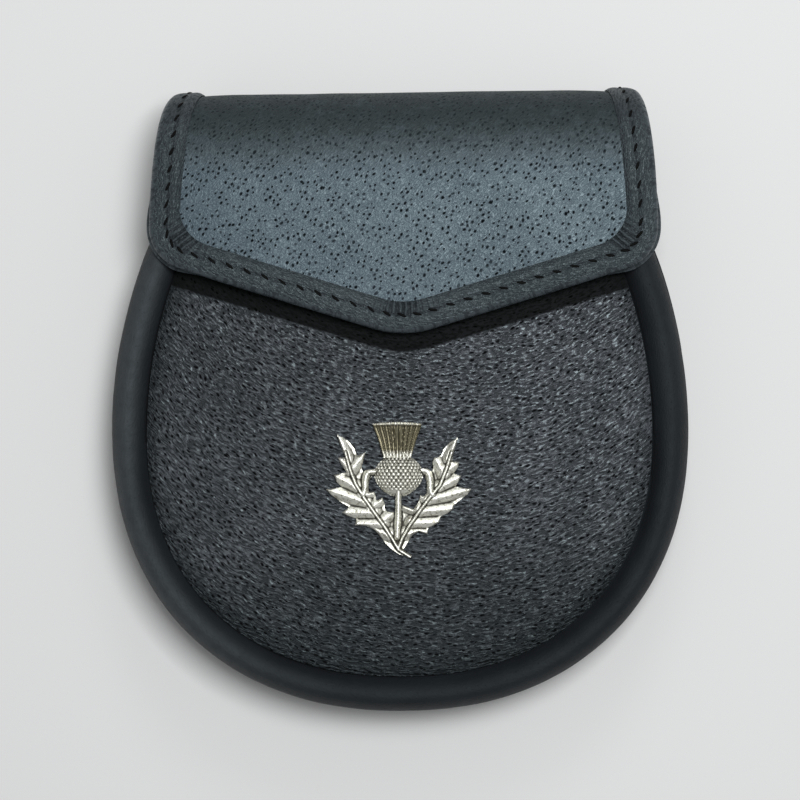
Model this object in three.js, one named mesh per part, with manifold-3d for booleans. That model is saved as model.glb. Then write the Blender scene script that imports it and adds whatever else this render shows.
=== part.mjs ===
// A leather day sporran with a folded flap and a cast thistle badge, lying on its back with its face up.
// Millimetres. +Z comes up out of the face, +Y points to the fold at the top, and z = 0 is the surface it lies on.
// Every piece is drawn in the body frame, where y = 0 is the line on which the pouch is widest.
import * as THREE from 'three';
import { ConvexGeometry } from 'three/addons/geometries/ConvexGeometry.js';
import { mergeVertices } from 'three/addons/utils/BufferGeometryUtils.js';
import Module from 'manifold-3d';

const wasm = await Module();
wasm.setup();

// Leather and fits
const PANEL_WALL = 2;
const GUSSET_WALL = 1.8;
const FLAP_WALL = 2;
const BINDING_WALL = 1;
const STRAP_WALL = 2;
const SEAM_GAP = 0.3;

// Body outline, seen from the front
const BODY_WIDTH = 170;
const BODY_DROP = 82; // from the widest line down to the bottom
const DROP_POWER = 2.2; // the lower half is a superellipse of this power
const SIDE_RADIUS = 148; // the upper sides are arcs
const GUSSET_RISE = 76; // from the widest line up to the ends of the gusset
const PANEL_RISE = 70; // to the mouth edge of the front panel
const BACK_RISE = 78; // to the top edge of the back panel

// Depth
const BODY_DEPTH = 34; // up to the crest of the gusset's roll
const TOE_THINNING = 1.5; // how much lower the crest is at the bottom
const MOUTH_THINNING = 1; // and at the mouth
const ROLL_WIDTH = 10.8; // the roll, from the outline to the front panel's edge
const ROLL_RISE = 2.8; // the crest over the front panel's edge
const PANEL_CROWN = 2;
const STRAP_ROOM = 4.6; // between a belt loop and the back panel
const BEND_LENGTH = 26; // over which the back panel bends up from the surface
const BEND_MARGIN = 7; // from the end of the bend to the belt loops

// Flap and its binding
const FOLD_REACH = 102; // the outermost line of the fold, over the widest line
const FLAP_TOP = 40;
const FLAP_TIP = 29.3; // the tip's place over the widest line
const FLAP_SINK = 1.2; // how much lower the flap lies at its tip
const FLAP_WIDTH = 148;
const FOLD_WIDTH = 137;
const FLAP_SHIFT = 1.4; // the flap sits this far to the right of the body
const FOLD_SKEW = 0.6; // degrees by which the fold rises to the right
const EDGE_DROOP = 1.6; // the flap's side edges bend down by this
const DROOP_START = 0.55; // between these shares of its half width
const DROOP_END = 1.05;
const FLAP_RAKE = 17; // degrees, the slope of the V
const CORNER_RADIUS = 13;
const TIP_RADIUS = 30;
const HEM_LENGTH = 21; // behind the back panel
const BINDING_LIP = 9.2;
const BINDING_UNDER_LIP = 7.6;
const UNDER_EDGE_REACH = 1.2; // the lower lip stands out this far at the corners
const PLEAT_DEPTH = 0.5;
const PLEAT_PITCH = 2.6;

// Hidden pieces
const STUD_RADIUS = 6;
const STUD_CLEARANCE = 1.5; // from the binding's lower lip
const LOOP_WIDTH = 24;
const LOOP_SPACING = 76;
const LOOP_SLOT = 26; // room for a strap of this width
const LOOP_RAMP = 7;
const LOOP_HEM = 9;

// Badge
const BADGE_WIDTH = 42.3;
const BADGE_HEIGHT = 39.8;
const BADGE_DROP = 16; // its centre under the widest line
const BADGE_EDGE = 0.9;
const BADGE_RIDGE = 1.8;
const BULB_RELIEF = 3.3;
const POST_RADIUS = 1.2;
const POST_TAIL = 2; // each post comes out this far inside the pouch

// Numbers of facets
const OUTLINE_STEPS = 54;
const FOLD_STEPS = 11;
const CORNER_STEPS = 6;
const RAKE_STEPS = 6;
const LOBE_STEPS = 5;
const PANEL_RINGS = [0.25, 0.5, 0.7, 0.86, 1]; // shares of the way to the rim

const DEGREE = Math.PI / 180;
const backLift = STRAP_WALL + STRAP_ROOM;
const halfBody = BODY_WIDTH / 2;
const centreShift = (BODY_DROP - FOLD_REACH) / 2;
const bindingSkin = SEAM_GAP + BINDING_WALL;

// The fold is a half circle of the flap's outer face, in the plane of y and z.
const foldRadius = (FLAP_TOP - (backLift - SEAM_GAP - FLAP_WALL)) / 2;
const foldCentre = new THREE.Vector2(FOLD_REACH - bindingSkin - foldRadius, FLAP_TOP - foldRadius);
const flapRun = foldCentre.x - FLAP_TIP;
const backRun = HEM_LENGTH + Math.PI * foldRadius;

// The belt loops start on the flap's hem and end on the back panel, above its bend.
const loopTop = foldCentre.x - HEM_LENGTH + LOOP_HEM + SEAM_GAP;
const slotTop = loopTop - LOOP_HEM - LOOP_RAMP;
const slotBottom = slotTop - LOOP_SLOT;
const loopBottom = slotBottom - LOOP_RAMP - LOOP_HEM;
const bendEnd = loopBottom - BEND_MARGIN;

// The gusset's section, from the back seam to the front seam. `inward` is a share of the roll's width from the
// outline, and `up` is a share of the wall's height from the back seam to the crest.
const GUSSET_SECTION = [
  { inward: 0.60, up: 0.00 },
  { inward: 0.40, up: 0.09 },
  { inward: 0.15, up: 0.26 },
  { inward: 0.00, up: 0.50 },
  { inward: 0.04, up: 0.70 },
  { inward: 0.17, up: 0.88 },
  { inward: 0.42, up: 1.00 },
  { inward: 0.72, up: 0.98 },
  { inward: 0.94, up: 0.87 },
];

// The back seam's edge along the gusset, from the bottom (0) to a mouth end (1). `left` and `right` are how far it
// stays inside the outline, as shares of the roll's width: at the upper right it stands out and shows.
const BACK_SEAM = [
  { along: 0.00, left: 0.22, right: 0.22 },
  { along: 0.45, left: 0.20, right: 0.18 },
  { along: 0.63, left: 0.14, right: 0.04 },
  { along: 0.76, left: 0.12, right: -0.10 },
  { along: 0.88, left: 0.10, right: -0.12 },
  { along: 1.00, left: 0.14, right: 0.00 },
];

// The badge is drawn at this height over its width, and the drawing is then stretched to the badge's height.
const BADGE_DRAFT = 0.94;
const STEM_SHARE = 0.047; // the stem's width over the badge's
const POST_PLACE = { x: 0.236, y: -0.4 }; // shares of the half sizes

// The lobes of one leaf of the badge. Each runs from a root to a tip, given as shares of the badge's half width and
// half height from its centre, and `width` is a share of the badge's width.
const LEAF_LOBES = [
  { rootX: 0.64, rootY: 0.28, tipX: 0.83, tipY: 0.78, width: 0.105 },
  { rootX: 0.62, rootY: 0.26, tipX: 0.83, tipY: 0.43, width: 0.090 },
  { rootX: 0.54, rootY: -0.06, tipX: 0.88, tipY: 0.20, width: 0.120 },
  { rootX: 0.44, rootY: -0.26, tipX: 0.995, tipY: 0.00, width: 0.125 },
  { rootX: 0.34, rootY: -0.42, tipX: 0.77, tipY: -0.31, width: 0.130 },
  { rootX: 0.20, rootY: -0.58, tipX: 0.58, tipY: -0.51, width: 0.110 },
  { rootX: 0.09, rootY: -0.72, tipX: 0.40, tipY: -0.65, width: 0.090 },
  { rootX: 0.66, rootY: 0.20, tipX: 0.47, tipY: 0.50, width: 0.085 },
  { rootX: 0.50, rootY: -0.20, tipX: 0.31, tipY: -0.08, width: 0.095 },
  { rootX: 0.38, rootY: -0.38, tipX: 0.20, tipY: -0.18, width: 0.095 },
  { rootX: 0.22, rootY: -0.56, tipX: 0.11, tipY: -0.27, width: 0.090 },
];

// A lobe's ridge from its root (0) to its tip (1), as shares of the badge's ridge height.
const LOBE_RIDGE = [
  { along: 0.05, height: 1.00 },
  { along: 0.50, height: 0.92 },
  { along: 0.86, height: 0.68 },
];
const LOBE_ROOT = 0.22; // where on a half wave the lobe's outline starts
const LOBE_FULLNESS = 0.8; // the power of that wave
const LOBE_EDGE = 0.8; // its edge, as a share of the badge's

// The leaf's midrib and the arm that carries the bulb, as shares of the same half sizes.
const LEAF_MIDRIB = [
  { x: 0.02, y: -0.84 },
  { x: 0.21, y: -0.54 },
  { x: 0.40, y: -0.29 },
  { x: 0.57, y: -0.01 },
  { x: 0.66, y: 0.40 },
];
const LEAF_ARM = [
  { x: 0.27, y: 0.27 },
  { x: 0.42, y: 0.28 },
  { x: 0.53, y: 0.17 },
  { x: 0.56, y: -0.02 },
];

// Widths as shares of the stem's, and heights as shares of the badge's ridge.
const STEM_BAR = { width: 1, height: 1 };
const MIDRIB_BAR = { width: 0.7, height: 1.15 };
const ARM_BAR = { width: 0.8, height: 1 };
const BAR_SHOULDER = 0.6; // the height of a bar's sides, as a share of its middle

// The thistle's head, from the stem up: half widths and heights as shares of the half sizes, and its relief.
const BULB = { y: 0.235, halfWidth: 0.335, halfHeight: 0.325, narrowing: 0.3, foot: 0.9 };
const BULB_SCALES = { turns: 5, relief: 0.03 };
const TUFT = [
  { y: 0.50, halfWidth: 0.20, relief: 0.80 },
  { y: 0.74, halfWidth: 0.28, relief: 0.72 },
  { y: 0.99, halfWidth: 0.37, relief: 0.62 },
];
const TUFT_FLUTES = 9;
const TUFT_DOME = 1.6;
const TUFT_GROOVE = 0.84; // a groove's height over its neighbours'
const STEM = [
  { x: 0.00, y: -0.04 },
  { x: 0.00, y: -0.50 },
  { x: 0.00, y: -0.84 },
  { x: 0.17, y: -0.99 },
];

const leather = (name, color, roughness) =>
  new THREE.MeshStandardMaterial({ name, color, roughness, metalness: 0 });
const grained = leather('grained_leather', 0x34393c, 0.5);
const smooth = leather('smooth_leather', 0x222527, 0.42);
const bound = leather('binding_leather', 0x2c2f34, 0.55);
const castMetal = new THREE.MeshStandardMaterial({
  name: 'antique_pewter', color: 0xb5b3a6, roughness: 0.35, metalness: 0.95 });
const studMetal = new THREE.MeshStandardMaterial({
  name: 'plated_steel', color: 0x9a9a98, roughness: 0.35, metalness: 0.95 });

// Small helpers

const smoothStep = (from, to, value) => THREE.MathUtils.smoothstep(value, from, to);

function tableValue(rows, key, column, at) {
  const next = rows.findIndex((row) => row[key] >= at);
  if (next < 0) return rows.at(-1)[column];
  if (next === 0) return rows[0][column];
  const share = smoothStep(rows[next - 1][key], rows[next][key], at);
  return THREE.MathUtils.lerp(rows[next - 1][column], rows[next][column], share);
}

function solidGeometry(points, faces) {
  const geometry = new THREE.BufferGeometry();
  geometry.setAttribute('position', new THREE.Float32BufferAttribute(points.flatMap((p) => [p.x, p.y, p.z]), 3));
  const volume = faces.reduce((sum, [a, b, c]) => sum + points[a].dot(points[b].clone().cross(points[c])), 0);
  const outward = volume < 0 ? faces.map(([a, b, c]) => [a, c, b]) : faces;
  geometry.setIndex(outward.flat());
  return geometry;
}

// A solid through sections that are closed loops of equally many points. `profile` is a flat copy of one section,
// which gives the triangles of the two end caps.
function loft(sections, profile) {
  const size = sections[0].length;
  const faces = [];
  for (let row = 0; row + 1 < sections.length; row += 1) {
    for (let i = 0; i < size; i += 1) {
      const a = row * size + i;
      const b = row * size + (i + 1) % size;
      faces.push([a, b, a + size], [b, b + size, a + size]);
    }
  }
  const last = (sections.length - 1) * size;
  for (const [a, b, c] of THREE.ShapeUtils.triangulateShape(profile, [])) {
    const turned = THREE.ShapeUtils.isClockWise(profile);
    faces.push(turned ? [a, b, c] : [a, c, b]);
    faces.push(turned ? [last + a, last + c, last + b] : [last + a, last + b, last + c]);
  }
  return solidGeometry(sections.flat(), faces);
}

// A sheet of leather: a grid of columns and rows on its outer face, and the same grid on its inner face.
function sheet(columns, rows, outer, inner) {
  const points = [];
  for (const face of [outer, inner]) {
    for (let row = 0; row < rows; row += 1) {
      for (let column = 0; column < columns; column += 1) points.push(face(column, row));
    }
  }
  const faces = [];
  const at = (column, row, side) => (side * rows + row) * columns + column;
  const quad = (a, b, c, d) => faces.push([a, b, c], [a, c, d]);
  for (let row = 0; row + 1 < rows; row += 1) {
    for (let i = 0; i + 1 < columns; i += 1) {
      quad(at(i, row, 0), at(i + 1, row, 0), at(i + 1, row + 1, 0), at(i, row + 1, 0));
      quad(at(i, row, 1), at(i, row + 1, 1), at(i + 1, row + 1, 1), at(i + 1, row, 1));
    }
    quad(at(0, row, 0), at(0, row + 1, 0), at(0, row + 1, 1), at(0, row, 1));
    quad(at(columns - 1, row, 0), at(columns - 1, row, 1), at(columns - 1, row + 1, 1), at(columns - 1, row + 1, 0));
  }
  for (let i = 0; i + 1 < columns; i += 1) {
    quad(at(i, 0, 0), at(i, 0, 1), at(i + 1, 0, 1), at(i + 1, 0, 0));
    quad(at(i, rows - 1, 0), at(i + 1, rows - 1, 0), at(i + 1, rows - 1, 1), at(i, rows - 1, 1));
  }
  return solidGeometry(points, faces);
}

function toManifold(geometry) {
  const bare = geometry.clone();
  bare.deleteAttribute('normal');
  bare.deleteAttribute('uv');
  const merged = mergeVertices(bare, 1e-4);
  return new wasm.Manifold(new wasm.Mesh({
    numProp: 3,
    vertProperties: new Float32Array(merged.attributes.position.array),
    triVerts: new Uint32Array(merged.index.array),
  }));
}

function fromManifold(solid) {
  const { vertProperties, triVerts } = solid.getMesh();
  const geometry = new THREE.BufferGeometry();
  geometry.setAttribute('position', new THREE.BufferAttribute(vertProperties, 3));
  geometry.setIndex(new THREE.BufferAttribute(triVerts, 1));
  return geometry;
}

function piece(name, geometry, material) {
  const mesh = new THREE.Mesh(geometry, material);
  mesh.name = name;
  return mesh;
}

// The body's outline

class BodyOutline extends THREE.Curve {
  // t runs from the left mouth end (0) round the bottom (0.5) to the right mouth end (1).
  getPoint(t, target = new THREE.Vector2()) {
    const bottomShare = 0.6;
    const across = 2 * t - 1;
    const away = Math.abs(across);
    if (away <= bottomShare) {
      const angle = (away / bottomShare) * (Math.PI / 2);
      target.x = halfBody * Math.sin(angle) ** (2 / DROP_POWER);
      target.y = -BODY_DROP * Math.cos(angle) ** (2 / DROP_POWER);
    } else {
      target.y = ((away - bottomShare) / (1 - bottomShare)) * GUSSET_RISE;
      target.x = sideHalfWidth(target.y);
    }
    target.x *= Math.sign(across);
    return target;
  }
}

function sideHalfWidth(rise) {
  return halfBody - SIDE_RADIUS + Math.sqrt(SIDE_RADIUS ** 2 - rise ** 2);
}

const outline = new BodyOutline();
outline.arcLengthDivisions = 1200;
const endMargin = 0.0005; // keeps the tangents off the ends

// Points along the outline with the direction out of the body, evenly spaced.
const outlineStations = Array.from({ length: OUTLINE_STEPS + 1 }, (_, i) => {
  const share = i / OUTLINE_STEPS;
  const point = outline.getPointAt(share);
  const tangent = outline.getTangentAt(THREE.MathUtils.clamp(share, endMargin, 1 - endMargin));
  return { point, out: new THREE.Vector2(tangent.y, -tangent.x), along: Math.abs(2 * share - 1) };
});

const insetPoint = (station, inset) => station.point.clone().addScaledVector(station.out, -inset);

// Heights of the body

function backFace(y) {
  return backLift * smoothStep(bendEnd - BEND_LENGTH, bendEnd, y);
}

function crestHeight(y) {
  const thinning = y < 0 ? TOE_THINNING * (y / BODY_DROP) ** 2 : MOUTH_THINNING * (y / GUSSET_RISE) ** 2;
  return BODY_DEPTH - thinning;
}

const panelEdgeTop = (y) => crestHeight(y) - ROLL_RISE;

const panelTop = (y, share) => panelEdgeTop(y) + PANEL_CROWN * (1 - share ** 2);

function backSeamInset(station) {
  const side = station.point.x < 0 ? 'left' : 'right';
  return ROLL_WIDTH * tableValue(BACK_SEAM, 'along', side, station.along);
}

// Pieces

// The centre line of the gusset's wall at a station: inward distance and height.
function gussetPath(station) {
  const { y } = station.point;
  const half = GUSSET_WALL / 2;
  const low = backFace(y) + PANEL_WALL + SEAM_GAP + half;
  const crest = crestHeight(y) - half;
  const seam = panelEdgeTop(y) - PANEL_WALL - SEAM_GAP - half;
  const width = ROLL_WIDTH - GUSSET_WALL;
  const wall = GUSSET_SECTION.map(({ inward, up }) =>
    new THREE.Vector2(half + inward * width, THREE.MathUtils.lerp(low, crest, up)));
  const foot = half + width;
  return [
    new THREE.Vector2(backSeamInset(station), low),
    ...wall,
    new THREE.Vector2(foot, (seam + wall.at(-1).y) / 2),
    new THREE.Vector2(foot, seam),
    new THREE.Vector2(foot + ROLL_WIDTH / 2, seam),
  ];
}

// A closed loop round a centre line, half the wall to each side of it.
function thicken(path, wall) {
  const sharpest = 0.6;
  const sides = path.map((point, i) => {
    const before = path[Math.max(i - 1, 0)];
    const after = path[Math.min(i + 1, path.length - 1)];
    const inDirection = point.clone().sub(before).normalize();
    const outDirection = after.clone().sub(point).normalize();
    const along = inDirection.clone().add(outDirection).normalize();
    const mitre = Math.max(along.dot(i === 0 ? outDirection : inDirection), sharpest);
    const across = new THREE.Vector2(-along.y, along.x).multiplyScalar(wall / 2 / mitre);
    return [point.clone().add(across), point.clone().sub(across)];
  });
  return [...sides.map(([left]) => left), ...sides.map(([, right]) => right).reverse()];
}

function gusset() {
  const profiles = outlineStations.map((station) => thicken(gussetPath(station), GUSSET_WALL));
  const sections = profiles.map((profile, i) => profile.map(({ x: inward, y: height }) => {
    const { x, y } = insetPoint(outlineStations[i], inward);
    return new THREE.Vector3(x, y, height);
  }));
  return piece('gusset', loft(sections, profiles[0]), smooth);
}

// The closed rim of a panel: the body's outline set in by a distance, and a straight edge across the mouth.
function panelRim(inset, rise) {
  const whole = outlineStations.map((station) => insetPoint(station, inset));
  const cornerRoom = 2;
  const side = whole.filter(({ y }) => y < rise - cornerRoom);
  const above = whole.findLast(({ y }) => y > rise);
  const below = whole[whole.indexOf(above) - 1];
  const halfMouth = THREE.MathUtils.mapLinear(rise, below.y, above.y, below.x, above.x);
  const mouthSteps = 8;
  const mouth = Array.from({ length: mouthSteps + 1 }, (_, i) =>
    new THREE.Vector2(halfMouth * (1 - (2 * i) / mouthSteps), rise));
  return [...side, ...mouth];
}

function frontPanel() {
  const rim = panelRim(ROLL_WIDTH + SEAM_GAP, PANEL_RISE);
  const points = [];
  for (const wall of [0, PANEL_WALL]) {
    points.push(new THREE.Vector3(0, 0, panelTop(0, 0) - wall));
    for (const share of PANEL_RINGS) {
      for (const { x, y } of rim) {
        points.push(new THREE.Vector3(x * share, y * share, panelTop(y * share, share) - wall));
      }
    }
  }
  const count = rim.length;
  const side = 1 + PANEL_RINGS.length * count;
  const faces = [];
  for (let i = 0; i < count; i += 1) {
    const next = (i + 1) % count;
    faces.push([0, 1 + i, 1 + next], [side, side + 1 + next, side + 1 + i]);
    for (let ring = 0; ring + 1 < PANEL_RINGS.length; ring += 1) {
      const a = 1 + ring * count + i;
      const b = 1 + ring * count + next;
      faces.push([a, a + count, b + count], [a, b + count, b]);
      faces.push([side + a, side + b + count, side + a + count], [side + a, side + b, side + b + count]);
    }
    const edge = 1 + (PANEL_RINGS.length - 1) * count;
    faces.push([edge + i, side + edge + i, side + edge + next], [edge + i, side + edge + next, edge + next]);
  }
  let solid = toManifold(solidGeometry(points, faces));
  for (const post of badgePosts(POST_RADIUS + SEAM_GAP)) solid = solid.subtract(toManifold(post));
  return piece('front_panel', fromManifold(solid), grained);
}

function backPanel() {
  const narrowest = 4;
  const lower = outlineStations.filter(({ point }) => point.x <= 0 && point.y < BACK_RISE);
  const rows = lower.map((station, i) => {
    const mirrored = outlineStations[outlineStations.length - 1 - outlineStations.indexOf(station)];
    const left = insetPoint(station, backSeamInset(station));
    const right = insetPoint(mirrored, backSeamInset(mirrored));
    return { left: left.x, right: right.x, y: (left.y + right.y) / 2 };
  }).filter(({ left, right }) => right - left > narrowest);
  const top = rows[0];
  const straight = { ...top, y: BACK_RISE };
  const sections = [straight, ...rows].map(({ left, right, y }) => {
    const z = backFace(y);
    return [
      new THREE.Vector3(left, y, z),
      new THREE.Vector3(right, y, z),
      new THREE.Vector3(right, y, z + PANEL_WALL),
      new THREE.Vector3(left, y, z + PANEL_WALL),
    ];
  });
  const profile = sections[0].map(({ x, z }) => new THREE.Vector2(x, z));
  return piece('back_panel', loft(sections, profile), grained);
}

// A place on the flap's outer face in the plane of y and z, and the direction out of the face there. The run is
// negative on the fold and the hem, and 0 where the flat front begins.
function foldPlace(run) {
  if (run < -Math.PI * foldRadius) {
    const y = foldCentre.x + run + Math.PI * foldRadius;
    return { at: new THREE.Vector2(y, foldCentre.y - foldRadius), out: new THREE.Vector2(0, -1) };
  }
  if (run < 0) {
    const angle = Math.PI / 2 + run / foldRadius;
    const out = new THREE.Vector2(Math.cos(angle), Math.sin(angle));
    return { at: foldCentre.clone().addScaledVector(out, foldRadius), out };
  }
  const share = run / flapRun;
  const at = new THREE.Vector2(foldCentre.x - run, FLAP_TOP - FLAP_SINK * share ** 2);
  return { at, out: new THREE.Vector2(-(2 * FLAP_SINK * share) / flapRun, 1).normalize() };
}

// A point of the flap: x across, `run` down the sheet from the fold's end, `height` off its outer face.
function flapPoint(x, run, height) {
  const { at, out } = foldPlace(run);
  const flatShare = 0.4;
  const onFront = smoothStep(-Math.PI * foldRadius, -flatShare * Math.PI * foldRadius, run);
  const bend = smoothStep(DROOP_START, DROOP_END, (2 * Math.abs(x)) / FLAP_WIDTH);
  const droop = EDGE_DROOP * onFront * bend ** 2;
  const skewed = (1 - smoothStep(0, flapRun / 2, run)) * Math.tan(FOLD_SKEW * DEGREE) * x;
  const offset = height - droop;
  return new THREE.Vector3(x + FLAP_SHIFT, at.x + out.x * offset + skewed * onFront, at.y + out.y * offset);
}

// The flap's outer edge on the unrolled sheet. x is across, y is the run, and `out` points off the sheet.
const rake = FLAP_RAKE * DEGREE;
const tipCentre = flapRun - TIP_RADIUS;
const edgeOffset = TIP_RADIUS + tipCentre * Math.cos(rake);
const cornerX = FLAP_WIDTH / 2 - CORNER_RADIUS;
const cornerRun = (edgeOffset - CORNER_RADIUS - cornerX * Math.sin(rake)) / Math.cos(rake);
const foldTopRun = -(Math.PI / 2) * foldRadius;

function flapHalfWidth(run) {
  const share = THREE.MathUtils.clamp((cornerRun - run) / (cornerRun - foldTopRun), 0, 1);
  return THREE.MathUtils.lerp(FLAP_WIDTH, FOLD_WIDTH, share ** 2) / 2;
}

function arcPoints(centreX, centreRun, radius, from, to, steps) {
  return Array.from({ length: steps + 1 }, (_, i) => {
    const angle = THREE.MathUtils.lerp(from, to, i / steps);
    const out = new THREE.Vector2(Math.cos(angle), Math.sin(angle));
    return { at: new THREE.Vector2(centreX, centreRun).addScaledVector(out, radius), out };
  });
}

// The lower edge from the right corner to the middle of the tip.
function lowerEdge(cornerSteps, tipSteps) {
  const turn = Math.PI / 2 - rake;
  const corner = arcPoints(cornerX, cornerRun, CORNER_RADIUS, 0, turn, cornerSteps);
  const tip = arcPoints(0, tipCentre, TIP_RADIUS, turn, Math.PI / 2, tipSteps);
  const between = Array.from({ length: RAKE_STEPS - 1 }, (_, i) => ({
    at: corner.at(-1).at.clone().lerp(tip[0].at, (i + 1) / RAKE_STEPS),
    out: tip[0].out.clone(),
  }));
  return [...corner, ...between, ...tip];
}

const mirrorEdge = ({ at, out }) => ({
  at: new THREE.Vector2(-at.x, at.y), out: new THREE.Vector2(-out.x, out.y) });

const wholeEdge = (half) => [...half.slice(0, -1), ...half.slice().reverse().map(mirrorEdge)];

function flap() {
  const tipSteps = 3;
  const edge = wholeEdge(lowerEdge(CORNER_STEPS, tipSteps));
  const rim = edge.map(({ at, out }) => at.clone().addScaledVector(out, -bindingSkin));
  const cornerRoom = 2;
  const lastCommon = cornerRun - cornerRoom;
  const common = [-backRun, -backRun + HEM_LENGTH / 2];
  for (let i = 0; i <= FOLD_STEPS; i += 1) common.push(-Math.PI * foldRadius * (1 - i / FOLD_STEPS));
  const frontSteps = 4;
  for (let i = 1; i <= frontSteps; i += 1) common.push((lastCommon * i) / frontSteps);
  const shares = [0.25, 0.5, 0.75, 1];
  const sideX = (run) => flapHalfWidth(run) - bindingSkin;
  const place = (column, row, height) => {
    const end = rim[column];
    const across = end.x / sideX(cornerRun);
    if (row < common.length) return flapPoint(across * sideX(common[row]), common[row], height);
    const share = shares[row - common.length];
    const x = THREE.MathUtils.lerp(across * sideX(lastCommon), end.x, share);
    return flapPoint(x, THREE.MathUtils.lerp(lastCommon, end.y, share), height);
  };
  const geometry = sheet(rim.length, common.length + shares.length,
    (column, row) => place(column, row, 0),
    (column, row) => place(column, row, -FLAP_WALL));
  return piece('flap', geometry, grained);
}

// The binding's section as a closed loop: distance in from the outer edge, and height off the flap's outer face.
// `pleat` lowers the upper lip's inner part, and `reach` pushes the lower lip out past the upper one.
function bindingSection(pleat, reach) {
  const top = bindingSkin;
  const bottom = -FLAP_WALL - bindingSkin;
  const innerTop = SEAM_GAP;
  const innerBottom = -FLAP_WALL - SEAM_GAP;
  const thickness = top - bottom;
  const outer = BINDING_LIP * 0.25;
  const stitchLine = BINDING_LIP * 0.6;
  const lipEdge = BINDING_LIP * 0.9;
  const rounding = BINDING_WALL * 0.6;
  const dip = BINDING_WALL * 0.4;
  return [
    new THREE.Vector2(BINDING_LIP, innerTop),
    new THREE.Vector2(BINDING_LIP + pleat / 2, top - dip - pleat),
    new THREE.Vector2(lipEdge, top - pleat),
    new THREE.Vector2(stitchLine, top - dip),
    new THREE.Vector2(outer, top),
    new THREE.Vector2(rounding, top - rounding),
    new THREE.Vector2(0, top - thickness * 0.4),
    new THREE.Vector2(dip, top - thickness * 0.6),
    new THREE.Vector2(-reach, bottom + rounding),
    new THREE.Vector2(dip / 2 - reach, bottom),
    new THREE.Vector2(BINDING_UNDER_LIP, bottom),
    new THREE.Vector2(BINDING_UNDER_LIP, innerBottom),
    new THREE.Vector2(BINDING_WALL, innerBottom),
    new THREE.Vector2(BINDING_WALL, innerTop),
  ];
}

function flapBinding() {
  const pleatSteps = (length) => 2 * Math.max(2, Math.round(length / PLEAT_PITCH / 2));
  const cornerSteps = pleatSteps(CORNER_RADIUS * (Math.PI / 2 - rake));
  const tipSteps = pleatSteps(TIP_RADIUS * rake);
  const lower = lowerEdge(cornerSteps, tipSteps);
  const pleated = lower.map((station, i) => {
    const atCorner = i > 0 && i < cornerSteps;
    const atTip = i > lower.length - 1 - tipSteps;
    return { ...station, pleat: (atCorner || atTip) && i % 2 ? PLEAT_DEPTH : 0 };
  });
  const start = -Math.PI * foldRadius - SEAM_GAP;
  const sideRuns = [start];
  for (let i = 1; i <= FOLD_STEPS; i += 1) sideRuns.push(start + ((-start) * i) / FOLD_STEPS);
  sideRuns.push(cornerRun / 2);
  const slopeStep = 0.5;
  const side = sideRuns.map((run) => {
    const slope = (flapHalfWidth(run + slopeStep) - flapHalfWidth(run - slopeStep)) / (2 * slopeStep);
    return { at: new THREE.Vector2(flapHalfWidth(run), run), out: new THREE.Vector2(1, -slope).normalize(), pleat: 0 };
  });
  const half = [...side, ...pleated];
  const mirrored = half.slice(0, -1).reverse().map((station) => ({ ...mirrorEdge(station), pleat: station.pleat }));
  const stations = [...half, ...mirrored];
  const cornerZone = CORNER_RADIUS * 0.6;
  const fade = CORNER_RADIUS * 2;
  const sections = stations.map(({ at, out, pleat }) => {
    const fromCorner = Math.hypot(Math.abs(at.x) - FLAP_WIDTH / 2, at.y - cornerRun - CORNER_RADIUS / 2);
    const reach = at.y > 0 ? UNDER_EDGE_REACH * (1 - smoothStep(cornerZone, fade, fromCorner)) : 0;
    return bindingSection(pleat, reach).map(({ x: inward, y: height }) => {
      const place = at.clone().addScaledVector(out, -inward);
      return flapPoint(place.x, place.y, height);
    });
  });
  return piece('flap_binding', loft(sections, bindingSection(0, 0)), bound);
}

function closureStud() {
  const y = FLAP_TIP + BINDING_UNDER_LIP + STUD_CLEARANCE + STUD_RADIUS;
  const nearest = y - STUD_RADIUS;
  const foot = panelTop(nearest, nearest / PANEL_RISE) + SEAM_GAP;
  const run = foldCentre.x - y;
  const head = foldPlace(run + STUD_RADIUS).at.y - FLAP_WALL - SEAM_GAP;
  const disc = new THREE.CylinderGeometry(STUD_RADIUS, STUD_RADIUS, head - foot, 24).rotateX(Math.PI / 2);
  const mesh = piece('closure_stud', disc, studMetal);
  mesh.position.set(0, y, (foot + head) / 2);
  return mesh;
}

function beltLoop(name, side) {
  const half = STRAP_WALL / 2;
  const underHem = backLift - SEAM_GAP - FLAP_WALL - SEAM_GAP - half;
  const underPanel = backLift - SEAM_GAP - half;
  const path = [
    new THREE.Vector2(loopBottom, underPanel),
    new THREE.Vector2(slotBottom - LOOP_RAMP, underPanel),
    new THREE.Vector2(slotBottom, half),
    new THREE.Vector2(slotTop, half),
    new THREE.Vector2(slotTop + LOOP_RAMP, underHem),
    new THREE.Vector2(loopTop, underHem),
  ];
  const profile = thicken(path, STRAP_WALL);
  const sections = [-1, 1].map((end) => profile.map(({ x: y, y: z }) =>
    new THREE.Vector3((end * LOOP_WIDTH) / 2, y, z)));
  const mesh = piece(name, loft(sections, profile), smooth);
  mesh.position.x = (side * LOOP_SPACING) / 2;
  return mesh;
}

// The badge, drawn round its own centre with its flat back at z = 0

const draftHeight = BADGE_WIDTH * BADGE_DRAFT;
const stemWidth = BADGE_WIDTH * STEM_SHARE;
const badgePoint = ({ x, y }) => new THREE.Vector2((x * BADGE_WIDTH) / 2, (y * draftHeight) / 2);

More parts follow.
